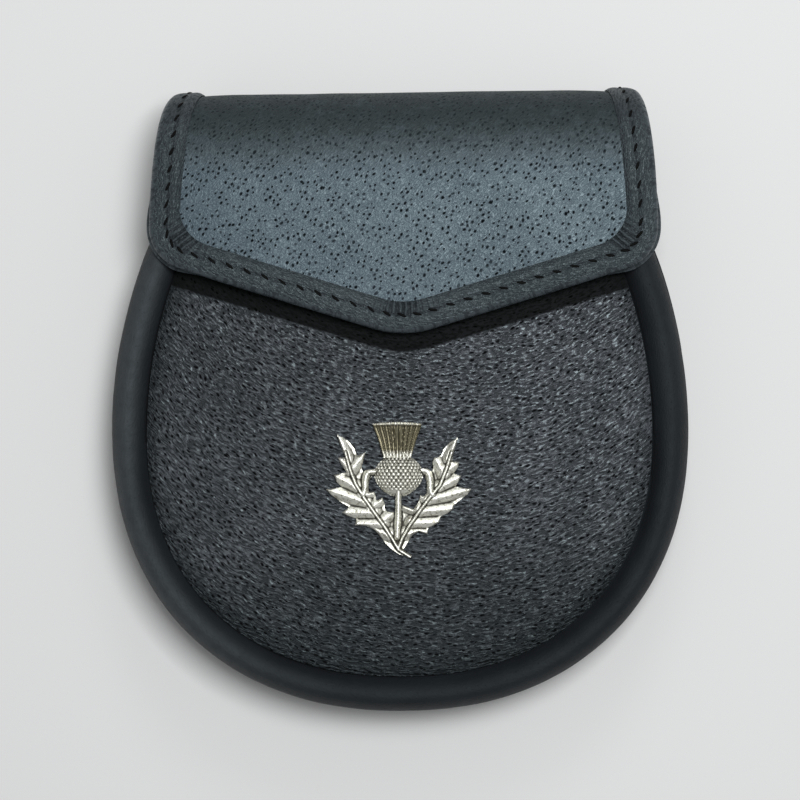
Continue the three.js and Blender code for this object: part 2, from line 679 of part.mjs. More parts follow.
// A pointed lobe with a ridge: the hull of an oval outline and of a raised line along its middle.
function lobe(root, tip, width) {
  const axis = tip.clone().sub(root);
  const across = new THREE.Vector2(-axis.y, axis.x).normalize();
  const points = [];
  for (let i = 0; i <= LOBE_STEPS; i += 1) {
    const share = i / LOBE_STEPS;
    const wave = Math.sin(Math.PI * THREE.MathUtils.lerp(LOBE_ROOT, 1, share));
    const half = (width / 2) * Math.max(wave, 0) ** LOBE_FULLNESS;
    const middle = root.clone().addScaledVector(axis, share);
    for (const side of [-1, 1]) {
      const edge = middle.clone().addScaledVector(across, side * half);
      points.push(new THREE.Vector3(edge.x, edge.y, 0), new THREE.Vector3(edge.x, edge.y, BADGE_EDGE * LOBE_EDGE));
    }
  }
  for (const { along, height } of LOBE_RIDGE) {
    const ridge = root.clone().addScaledVector(axis, along);
    points.push(new THREE.Vector3(ridge.x, ridge.y, BADGE_RIDGE * height));
  }
  return new ConvexGeometry(points);
}

// Bars between neighbouring points of a path, each with a raised middle.
function ribs(path, bar) {
  const width = stemWidth * bar.width;
  const height = BADGE_RIDGE * bar.height;
  const shoulder = height * BAR_SHOULDER;
  return path.slice(1).map((end, i) => {
    const start = path[i];
    const along = end.clone().sub(start).normalize();
    const across = new THREE.Vector2(-along.y, along.x);
    const points = [];
    for (const [middle, sign] of [[start, -1], [end, 1]]) {
      for (const side of [-1, 1]) {
        const edge = middle.clone().addScaledVector(across, (side * width) / 2);
        points.push(new THREE.Vector3(edge.x, edge.y, 0), new THREE.Vector3(edge.x, edge.y, shoulder));
      }
      const cap = middle.clone().addScaledVector(along, (sign * width) / 2);
      points.push(new THREE.Vector3(cap.x, cap.y, 0), new THREE.Vector3(cap.x, cap.y, shoulder));
      points.push(new THREE.Vector3(middle.x, middle.y, height));
    }
    return new ConvexGeometry(points);
  });
}

function thistleBulb() {
  const columns = 20;
  const rows = 12;
  const ball = new THREE.SphereGeometry(1, columns, rows).rotateX(Math.PI / 2);
  const bare = ball.clone();
  bare.deleteAttribute('normal');
  bare.deleteAttribute('uv');
  const round = mergeVertices(bare, 1e-4);
  const position = round.attributes.position;
  const point = new THREE.Vector3();
  for (let i = 0; i < position.count; i += 1) {
    point.fromBufferAttribute(position, i);
    const rising = Math.sin((point.x + point.y) * BULB_SCALES.turns);
    const falling = Math.sin((point.x - point.y) * BULB_SCALES.turns);
    point.multiplyScalar(1 + BULB_SCALES.relief * rising * falling);
    const narrowing = 1 - BULB.narrowing * smoothStep(0, 1, point.y);
    position.setXYZ(i,
      point.x * narrowing * BULB.halfWidth * (BADGE_WIDTH / 2),
      (point.y * BULB.halfHeight + BULB.y) * (draftHeight / 2),
      Math.max(point.z, 0) * BULB_RELIEF);
  }
  return toManifold(round).add(toManifold(bulbBase()));
}

// A flat disc under the bulb, which keeps its back flat.
function bulbBase() {
  const steps = 20;
  const points = [];
  for (let i = 0; i < steps; i += 1) {
    const angle = (2 * Math.PI * i) / steps;
    const centre = badgePoint({
      x: Math.cos(angle) * BULB.halfWidth * BULB.foot,
      y: BULB.y + Math.sin(angle) * BULB.halfHeight * BULB.foot,
    });
    points.push(new THREE.Vector3(centre.x, centre.y, 0), new THREE.Vector3(centre.x, centre.y, BADGE_EDGE));
  }
  return new ConvexGeometry(points);
}

function tuft() {
  const profileOf = ({ y, halfWidth, relief }) => {
    const loop = [];
    const span = halfWidth * BADGE_WIDTH;
    const points = 2 * TUFT_FLUTES;
    for (let i = 0; i <= points; i += 1) {
      const across = i / points - 0.5;
      const dome = 1 - TUFT_DOME * across ** 2;
      const flute = i % 2 ? 1 : TUFT_GROOVE;
      loop.push(new THREE.Vector2(across * span, BULB_RELIEF * relief * dome * flute));
    }
    loop.push(new THREE.Vector2(span / 2, 0), new THREE.Vector2(-span / 2, 0));
    return { loop, y: (y * draftHeight) / 2 };
  };
  const rows = TUFT.map(profileOf);
  const sections = rows.map(({ loop, y }) => loop.map(({ x, y: z }) => new THREE.Vector3(x, y, z)));
  return loft(sections, rows[0].loop);
}

function badgePosts(radius) {
  const length = PANEL_WALL + PANEL_CROWN + POST_TAIL;
  return [-1, 1].map((side) => {
    const post = new THREE.CylinderGeometry(radius, radius, length, 12).rotateX(Math.PI / 2);
    const x = (side * POST_PLACE.x * BADGE_WIDTH) / 2;
    const y = badgeCentre.y + (POST_PLACE.y * BADGE_HEIGHT) / 2;
    return post.translate(x, y, badgeCentre.z - length / 2 + BADGE_EDGE / 2);
  });
}

const badgeCentre = new THREE.Vector3(0, -BADGE_DROP, panelTop(0, 0) + SEAM_GAP);

function thistleBadge() {
  let solid = thistleBulb();
  const join = (geometry) => { solid = solid.add(toManifold(geometry)); };
  join(tuft());
  for (const bar of ribs(STEM.map(badgePoint), STEM_BAR)) join(bar);
  for (const side of [-1, 1]) {
    const turned = ({ x, y }) => badgePoint({ x: side * x, y });
    for (const { rootX, rootY, tipX, tipY, width } of LEAF_LOBES) {
      join(lobe(turned({ x: rootX, y: rootY }), turned({ x: tipX, y: tipY }), width * BADGE_WIDTH));
    }
    for (const bar of ribs(LEAF_MIDRIB.map(turned), MIDRIB_BAR)) join(bar);
    for (const bar of ribs(LEAF_ARM.map(turned), ARM_BAR)) join(bar);
  }
  solid = solid.scale([1, BADGE_HEIGHT / draftHeight, 1]);
  for (const post of badgePosts(POST_RADIUS)) {
    join(post.translate(-badgeCentre.x, -badgeCentre.y, -badgeCentre.z));
  }
  const mesh = piece('thistle_badge', fromManifold(solid), castMetal);
  mesh.position.copy(badgeCentre);
  return mesh;
}

const sporran = new THREE.Group();
sporran.add(
  backPanel(),
  gusset(),
  frontPanel(),
  flap(),
  flapBinding(),
  closureStud(),
  thistleBadge(),
  beltLoop('belt_loop_left', -1),
  beltLoop('belt_loop_right', 1),
);
sporran.position.y = centreShift;

export default sporran;
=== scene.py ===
"""Blender scene of a leather day sporran that lies on its back with its face up.

Metres. +Z comes up out of the face, +Y points to the fold at the top, and z = 0 is the floor.
"""

import logging
import math
from bisect import bisect_right
from dataclasses import dataclass, field
from enum import Enum
from functools import cached_property
from typing import Callable, Sequence

import bmesh
import bpy
import numpy as np
from mathutils import Matrix, Vector, noise


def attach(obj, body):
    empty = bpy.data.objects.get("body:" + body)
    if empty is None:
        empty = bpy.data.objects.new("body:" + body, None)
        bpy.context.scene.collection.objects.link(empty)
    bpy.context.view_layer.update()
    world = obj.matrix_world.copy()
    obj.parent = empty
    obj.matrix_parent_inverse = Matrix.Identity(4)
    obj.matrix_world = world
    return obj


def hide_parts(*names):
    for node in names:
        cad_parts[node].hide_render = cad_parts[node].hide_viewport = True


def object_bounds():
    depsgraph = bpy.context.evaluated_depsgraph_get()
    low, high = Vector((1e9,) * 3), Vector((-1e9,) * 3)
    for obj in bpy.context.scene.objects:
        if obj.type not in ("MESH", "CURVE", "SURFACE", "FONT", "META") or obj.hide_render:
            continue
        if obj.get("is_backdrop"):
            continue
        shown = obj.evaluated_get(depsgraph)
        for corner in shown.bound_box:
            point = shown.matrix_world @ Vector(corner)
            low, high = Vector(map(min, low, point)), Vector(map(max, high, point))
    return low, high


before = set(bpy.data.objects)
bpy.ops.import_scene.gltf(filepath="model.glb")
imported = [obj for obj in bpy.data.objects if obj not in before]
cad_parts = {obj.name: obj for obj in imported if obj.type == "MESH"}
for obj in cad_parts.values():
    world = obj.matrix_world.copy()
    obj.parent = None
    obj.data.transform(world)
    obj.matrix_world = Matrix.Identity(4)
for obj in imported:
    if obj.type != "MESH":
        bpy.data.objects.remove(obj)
CAD_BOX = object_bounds()

LOG = logging.getLogger("sporran")
MM = 0.001
Place = Callable[[float, float], Vector]
Value = Callable[[float, float], float]
Pair = tuple[float, float]
Colour = tuple[float, float, float]
Socket = bpy.types.NodeSocket
Sockets = bpy.types.bpy_prop_collection | dict[str, Socket]
Term = Socket | float | tuple[float, ...]


# Small helpers


def smooth_step(low: float, high: float, value: float) -> float:
    """Returns 0 below low, 1 above high, and an S-curve between them."""
    share = min(max((value - low) / (high - low), 0.0), 1.0)
    return share * share * (3.0 - 2.0 * share)


def mix(start: float, end: float, share: float) -> float:
    """Returns the value that lies at a share of the way from start to end."""
    return start + (end - start) * share


def bell(value: float, width: float) -> float:
    """Returns 1 at zero, falling smoothly to nearly nothing at twice the width."""
    return math.exp(-((value / width) ** 2))


def uneven(point: Vector, size: float, seed: float) -> float:
    """Returns smooth noise from about -1 to 1.

    Args:
        point: The place on the piece, in metres.
        size: How far apart the humps are, in metres.
        seed: A number that moves the pattern.
    """
    return noise.noise(point / size + Vector((seed, 2.0 * seed, -seed)))


def toward(angle: float) -> Vector:
    """Returns the direction at an angle from the x axis."""
    return Vector((math.cos(angle), math.sin(angle)))


def flat_skin(place: Place) -> Place:
    """Returns the skin of a sheet that lies flat: its own places, without their height."""
    return lambda across, along: place(across, along) * Vector((1.0, 1.0, 0.0))


def smooth_path(points: Sequence[Pair], steps: int) -> list[Vector]:
    """Draws a smooth curve through points in a plane.

    Args:
        points: The points that it goes through.
        steps: How many pieces each stretch between two points gets.

    Returns:
        The curve's points, from the first to the last.
    """
    knots = [Vector(point) for point in points]
    knots = [2 * knots[0] - knots[1], *knots, 2 * knots[-1] - knots[-2]]
    curve = [knots[1]]
    for before, start, end, after in zip(knots, knots[1:], knots[2:], knots[3:]):
        for step in range(1, steps + 1):
            t = step / steps
            square = (2 * before - 5 * start + 4 * end - after) * t**2
            cube = (3 * start - before - 3 * end + after) * t**3
            curve.append(0.5 * (2 * start + (end - before) * t + square + cube))
    return curve


@dataclass(frozen=True)
class Track:
    """A path in a plane, measured along its length."""

    points: tuple[Vector, ...]

    @cached_property
    def marks(self) -> list[float]:
        """The distance of each point from the first."""
        marks = [0.0]
        for start, end in zip(self.points, self.points[1:]):
            marks.append(marks[-1] + (end - start).length)
        return marks

    @property
    def length(self) -> float:
        """The whole length."""
        return self.marks[-1]

    def stretch(self, distance: float) -> int:
        """Returns the number of the stretch that holds a distance."""
        return min(max(bisect_right(self.marks, distance) - 1, 0), len(self.points) - 2)

    def place(self, distance: float) -> Vector:
        """Returns the point at a distance from the start."""
        i = self.stretch(distance)
        span = max(self.marks[i + 1] - self.marks[i], 1e-12)
        return self.points[i].lerp(self.points[i + 1], (distance - self.marks[i]) / span)

    def heading(self, distance: float) -> Vector:
        """Returns the direction of travel at a distance from the start."""
        reach = 0.4 * MM
        ahead = self.place(min(distance + reach, self.length))
        behind = self.place(max(distance - reach, 0.0))
        return (ahead - behind).normalized()

    def out(self, distance: float) -> Vector:
        """Returns the direction to the right of travel."""
        heading = self.heading(distance)
        return Vector((heading.y, -heading.x))


def lay_sheet(
    columns: int, rows: int, place: Place, layers: dict[str, Value], skin: Place
) -> bmesh.types.BMesh:
    """Lays a flat grid out in space as the outer face of a sheet.

    Args:
        columns: How many cells it has across.
        rows: How many cells it has along.
        place: Gives a point's place from its two shares, each from 0 to 1.
        layers: Values that each point keeps, by name, from the same two shares.
        skin: Gives the point's place on the flat hide, in metres, which the grain follows.

    Returns:
        The open sheet, with doubled points merged.
    """
    mesh = bmesh.new()
    hide = mesh.verts.layers.float_vector.new("hide")
    kept = {mesh.verts.layers.float.new(name): value for name, value in layers.items()}
    bmesh.ops.create_grid(mesh, x_segments=columns, y_segments=rows, size=0.5)
    for vertex in mesh.verts:
        across, along = vertex.co.x + 0.5, vertex.co.y + 0.5
        vertex.co = place(across, along)
        vertex[hide] = skin(across, along)
        for layer, value in kept.items():
            vertex[layer] = value(across, along)
    bmesh.ops.remove_doubles(mesh, verts=mesh.verts[:], dist=1e-6)
    return mesh


def give_wall(mesh: bmesh.types.BMesh, turned: bool = False) -> None:
    """Gives a sheet the wall that its points keep in the layer `wall`, behind its outer face.

    Args:
        mesh: The open sheet.
        turned: Whether its faces point inwards and are turned first.
    """
    if turned:
        bmesh.ops.reverse_faces(mesh, faces=mesh.faces[:])
    mesh.normal_update()
    wall = mesh.verts.layers.float["wall"]
    normal = mesh.verts.layers.float_vector.new("out")
    for vertex in mesh.verts:
        vertex[normal] = vertex.normal
    grown = bmesh.ops.extrude_face_region(mesh, geom=mesh.faces[:], use_keep_orig=True)
    for vertex in grown["geom"]:
        if isinstance(vertex, bmesh.types.BMVert):
            vertex.co -= vertex[normal] * vertex[wall]
    mesh.verts.layers.float_vector.remove(normal)
    bmesh.ops.recalc_face_normals(mesh, faces=mesh.faces[:])


def round_edges(mesh: bmesh.types.BMesh, radius: float) -> None:
    """Rounds the cut edges of a sheet.

    Args:
        mesh: The closed sheet.
        radius: The rounding, in metres.
    """
    sharp_angle = 1.1
    sharp = [edge for edge in mesh.edges if edge.is_manifold and edge.calc_face_angle(0.0) > sharp_angle]
    bmesh.ops.bevel(
        mesh,
        geom=sharp,
        offset=radius,
        offset_type="OFFSET",
        segments=2,
        profile=0.5,
        affect="EDGES",
        clamp_overlap=True,
        material=-1,
    )


def sew_stitch(mesh: bmesh.types.BMesh, place: Matrix, length: float, radius: float) -> None:
    """Adds one stitch, a short rounded length of thread.

    Args:
        mesh: The bmesh that holds the seam's stitches.
        place: Where it lies. The thread runs along its x.
        length: The stitch's length.
        radius: The thread's radius.
    """
    size = Matrix.Diagonal((length / 2.0, radius, radius, 1.0))
    upright = Matrix.Rotation(math.pi / 2.0, 4, "Y")
    bmesh.ops.create_uvsphere(mesh, u_segments=8, v_segments=6, radius=1.0, matrix=place @ size @ upright)


class Slot(Enum):
    """The record's material slots."""

    GRAINED = "grained_leather"
    SMOOTH = "smooth_leather"
    BINDING = "binding_leather"
    PEWTER = "antique_pewter"
    STEEL = "plated_steel"


def make_piece(
    mesh: bmesh.types.BMesh,
    name: str,
    material: bpy.types.Material,
    slot: Slot,
    replaced: tuple[str, ...] = (),
    crease: float = 50.0,
) -> bpy.types.Object:
    """Turns a finished bmesh into a piece of the sporran.

    Args:
        mesh: The finished bmesh, which is freed.
        name: The piece's name.
        material: Its finish.
        slot: The record's slot that the finish stands for. Not used.
        replaced: The CAD nodes that it stands for.
        crease: The angle in degrees from which an edge shows as sharp.

    Returns:
        The piece's object.
    """
    volume = mesh.calc_volume(signed=True)
    data = bpy.data.meshes.new(name)
    mesh.to_mesh(data)
    mesh.free()
    data.shade_smooth()
    data.set_sharp_from_angle(angle=math.radians(crease))
    data.materials.append(material)
    piece = bpy.data.objects.new(name, data)
    bpy.context.scene.collection.objects.link(piece)
    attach(piece, "root")
    if replaced:
        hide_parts(*replaced)
    data.calc_loop_triangles()
    LOG.info("%s: %d triangles, %.1f ml", name, len(data.loop_triangles), volume * 1e6)
    return piece


# Finishes


class Nodes:
    """A node tree that is filled node by node."""

    def __init__(self, tree: bpy.types.NodeTree) -> None:
        """Takes the tree to fill."""
        self.tree = tree

    def add(self, kind: str, inputs: dict | None = None, **settings) -> bpy.types.Node:
        """Adds a node.

        Args:
            kind: The node's type.
            inputs: Values or sockets for its inputs, by name or number.
            settings: Its own properties.

        Returns:
            The node.
        """
        node = self.tree.nodes.new(kind)
        for key, value in settings.items():
            setattr(node, key, value)
        self.feed(node.inputs, inputs or {})
        return node

    def feed(self, sockets: Sockets, values: dict) -> None:
        """Links or sets input sockets, by name or number."""
        for key, value in values.items():
            if isinstance(value, Socket):
                self.tree.links.new(value, sockets[key])
            else:
                sockets[key].default_value = value

    def math(self, operation: str, first: Term, second: Term = 0.0, clamp: bool = False) -> Socket:
        """Returns the result of a sum on two values or sockets."""
        inputs = {0: first, 1: second}
        return self.add("ShaderNodeMath", inputs, operation=operation, use_clamp=clamp).outputs[0]

    def times(self, first: Term, second: Term) -> Socket:
        """Returns the product of two values or sockets."""
        return self.math("MULTIPLY", first, second)

    def plus(self, first: Term, second: Term, factor: float, clamp: bool = False) -> Socket:
        """Returns the first value or socket plus the second one times a factor."""
        return self.math("ADD", first, self.times(second, factor), clamp)

    def vector(self, operation: str, first: Term, second: Term) -> Socket:
        """Returns the result of a sum on two vectors or sockets."""
        return self.add("ShaderNodeVectorMath", {0: first, 1: second}, operation=operation).outputs[0]

    def combine(self, x: Term, y: Term) -> Socket:
        """Returns a flat vector from its two numbers."""
        return self.add("ShaderNodeCombineXYZ", {0: x, 1: y}).outputs[0]

    def split(self, vector: Socket) -> Sockets:
        """Returns a vector's three numbers."""
        return self.add("ShaderNodeSeparateXYZ", {0: vector}).outputs

    def rotate(self, vector: Socket, angle: Term) -> Socket:
        """Returns a vector turned about the z axis."""
        inputs = {"Vector": vector, "Angle": angle}
        return self.add("ShaderNodeVectorRotate", inputs, rotation_type="Z_AXIS").outputs[0]

    def ramp(self, value: Term, low: float, high: float, start: float = 0.0, end: float = 1.0) -> Socket:
        """Returns a value mapped smoothly from low..high to start..end."""
        inputs = {"Value": value, "From Min": low, "From Max": high, "To Min": start, "To Max": end}
        return self.add("ShaderNodeMapRange", inputs, interpolation_type="SMOOTHSTEP").outputs["Result"]

    def noise(self, vector: Socket, scale: Term, detail: float = 3.0, rough: float = 0.55) -> Socket:
        """Returns a noise value."""
        inputs = {"Vector": vector, "Scale": scale, "Detail": detail, "Roughness": rough}
        return self.add("ShaderNodeTexNoise", inputs).outputs["Fac"]

    def cells(self, vector: Socket, spacing: Socket, loose: float, **settings) -> Sockets:
        """Returns the outputs of flat cells at a spacing."""
        inputs = {"Vector": vector, "Scale": self.math("DIVIDE", 1.0, spacing), "Randomness": loose}
        return self.add("ShaderNodeTexVoronoi", inputs, voronoi_dimensions="2D", **settings).outputs

    def blend(self, share: Term, first: Socket | Colour, second: Socket | Colour) -> Socket:
        """Returns a mix of two colours."""
        a, b = (value if isinstance(value, Socket) else (*value, 1.0) for value in (first, second))
        return self.add("ShaderNodeMix", {0: share, 6: a, 7: b}, data_type="RGBA").outputs[2]

    def place(self) -> Socket:
        """Returns the place on the piece."""
        return self.add("ShaderNodeTexCoord").outputs["Object"]

    def kept(self, name: str, output: str = "Fac") -> Socket:
        """Returns a value that the mesh's points keep."""
        return self.add("ShaderNodeAttribute", attribute_name=name).outputs[output]

    def worn_and_painted_light(self, group: bpy.types.NodeTree, mask: Socket, scale: float, breakup: float) -> Socket:
        """Returns a mask broken up by the group for wear and painted light."""
        inputs = {"Vector": self.place(), "Mask": mask, "Scale": scale, "Breakup": breakup}
        return self.add("ShaderNodeGroup", inputs, node_tree=group).outputs["Worn And Painted Light"]

    def bump(self, height: Socket, distance: float = 1.0, strength: float = 1.0) -> Socket:
        """Returns the normals of a surface with a height."""
        inputs = {"Height": height, "Distance": distance, "Strength": strength}
        return self.add("ShaderNodeBump", inputs).outputs[0]


def scaled(colour: Colour, factor: float) -> Colour:
    """Returns a colour made darker or brighter by a factor."""
    return tuple(factor * part for part in colour)


def open_material(name: str) -> tuple[bpy.types.Material, Nodes, Sockets]:
    """Starts a material.

    Args:
        name: The material's name.

    Returns:
        The material, its tree to fill, and its shader's input sockets.
    """
    material = bpy.data.materials.new(name)
    material.use_nodes = True
    return material, Nodes(material.node_tree), material.node_tree.nodes["Principled BSDF"].inputs


def open_group(name: str, inputs: Sequence[str], outputs: Sequence[str]) -> tuple[Nodes, Sockets, Sockets]:
    """Starts a shader node group with named sockets.

    Args:
        name: The group's name.
        inputs: The names of its values, besides the vector that every group takes.
        outputs: The names of its results.

    Returns:
        The tree to fill, its input sockets by name, and its output sockets by name.
    """
    tree = bpy.data.node_groups.new(name, "ShaderNodeTree")
    tree.interface.new_socket(name="Vector", in_out="INPUT", socket_type="NodeSocketVector")
    for way, labels in (("INPUT", inputs), ("OUTPUT", outputs)):
        for label in labels:
            tree.interface.new_socket(name=label, in_out=way, socket_type="NodeSocketFloat")
    nodes = Nodes(tree)
    entry, leave = nodes.add("NodeGroupInput").outputs, nodes.add("NodeGroupOutput").inputs
    return nodes, {s.name: s for s in entry if s.name}, {s.name: s for s in leave if s.name}


GRAIN_SIZES = (
    "Turn", "Swirl", "Pore Spacing", "Pore Reach", "Pore Size", "Pore Stretch", "Cell Spacing",
    "Ripple Spacing",
)


def pigskin_group() -> bpy.types.NodeTree:
    """Builds the group for pigskin: pores in threes, fine cells and drawn-out ripples.

    Pores and ripples are drawn out the same way, which swings round across the hide by its swirl.
    """
    nodes, entry, leave = open_group("pigskin_grain", GRAIN_SIZES, ("Pores", "Cells", "Ripple"))
    waver, third, ripple_length = 2.0 * MM, 2.0 * math.pi / 3.0, 0.36
    pore_length, pore_width = 0.78, 1.15
    turned = nodes.rotate(entry["Vector"], entry["Turn"])
    warp = nodes.add("ShaderNodeTexNoise", {"Vector": turned, "Scale": 210.0, "Detail": 2.0})
    centred = nodes.vector("SUBTRACT", warp.outputs["Color"], (0.5, 0.5, 0.5))
    bent = nodes.vector("ADD", turned, nodes.vector("MULTIPLY", centred, (waver, waver, 0.0)))
    course = nodes.times(nodes.split(entry["Vector"])[0], entry["Swirl"])
    spots = nodes.cells(bent, entry["Pore Spacing"], 0.55)
    local = nodes.vector("SUBTRACT", bent, spots["Position"])
    chance = nodes.add("ShaderNodeSeparateColor", {0: spots["Color"]}).outputs
    angle = nodes.times(nodes.math("SUBTRACT", chance[0], 0.5), 1.6)
    slim = nodes.combine(
        nodes.math("DIVIDE", pore_length, entry["Pore Stretch"]),
        nodes.times(pore_width, entry["Pore Stretch"]),
    )
    pores = 0.0
    for step, spread in enumerate((0.9, 1.0, 1.15)):
        turn = nodes.math("ADD", angle, third * step)
        reach = nodes.times(entry["Pore Reach"], spread)
        centre = nodes.combine(
            nodes.times(reach, nodes.math("COSINE", turn)), nodes.times(reach, nodes.math("SINE", turn))
        )
        off = nodes.rotate(nodes.vector("SUBTRACT", local, centre), nodes.times(course, 2.0))
        off = nodes.vector("MULTIPLY", off, slim)
        gap = nodes.add("ShaderNodeVectorMath", {0: off}, operation="LENGTH").outputs["Value"]
        size = nodes.times(entry["Pore Size"], nodes.ramp(chance[step], 0.0, 1.0, 0.70, 1.12))
        dot = nodes.ramp(nodes.math("DIVIDE", gap, size), 0.45, 1.08, 1.0, 0.0)
        pores = nodes.math("MAXIMUM", pores, dot)
    strength = nodes.ramp(nodes.noise(turned, 300.0, 2.0), 0.35, 0.6, 0.55, 1.0)
    cells = nodes.cells(bent, entry["Cell Spacing"], 1.0, feature="DISTANCE_TO_EDGE")
    drawn = nodes.vector("MULTIPLY", nodes.rotate(bent, course), (ripple_length, 1.0, 1.0))
    ripple = nodes.noise(drawn, nodes.math("DIVIDE", 1.0, entry["Ripple Spacing"]), 2.0, 0.5)
    results = {
        "Pores": nodes.times(pores, strength),
        "Cells": nodes.ramp(cells["Distance"], 0.0, 0.30),
        "Ripple": nodes.ramp(ripple, 0.38, 0.60),
    }
    nodes.feed(leave, results)
    return nodes.tree


def flap_shadow_group(tip: Pair, rake: float, corner: float) -> bpy.types.NodeTree:
    """Builds the group for the painted shadow of the flap: leather under the flap and close below its edge is
    painted dark and dull.

    Args:
        tip: Where the flap's point would be, in the scene.
        rake: How steeply its edge rises from there.
        corner: How far the point is rounded.

    Returns:
        The group.
    """
    nodes, entry, leave = open_group("flap_painted_shadow", (), ("Painted Shadow",))
    soft, ragged = 0.45 * MM, 0.9 * MM
    parts = nodes.split(entry["Vector"])
    away = nodes.math("SUBTRACT", parts[0], tip[0])
    squared = nodes.math("ADD", nodes.times(away, away), corner**2)
    rise = nodes.times(nodes.math("SUBTRACT", nodes.math("SQRT", squared), corner), math.tan(rake))
    above = nodes.math("SUBTRACT", parts[1], nodes.math("ADD", rise, tip[1]))
    above = nodes.plus(above, nodes.math("SUBTRACT", nodes.noise(entry["Vector"], 500.0), 0.5), ragged)
    nodes.feed(leave, {"Painted Shadow": nodes.ramp(above, -soft, soft)})
    return nodes.tree


def wear_and_light_group() -> bpy.types.NodeTree:
    """Builds the group that breaks up a mask that a piece keeps with noise: wear on some pieces, patina on
    the metal, and painted light and shade on others.
    """
    nodes, entry, leave = open_group("wear_and_light_breakup", ("Mask", "Scale", "Breakup"), ("Worn And Painted Light",))
    patches = nodes.noise(entry["Vector"], entry["Scale"], 4.0, 0.65)
    spread = nodes.times(nodes.math("SUBTRACT", patches, 0.5), entry["Breakup"])
    worn_and_painted_light = nodes.math("MULTIPLY", entry["Mask"], nodes.math("ADD", 1.0, spread), clamp=True)
    nodes.feed(leave, {"Worn And Painted Light": worn_and_painted_light})
    return nodes.tree


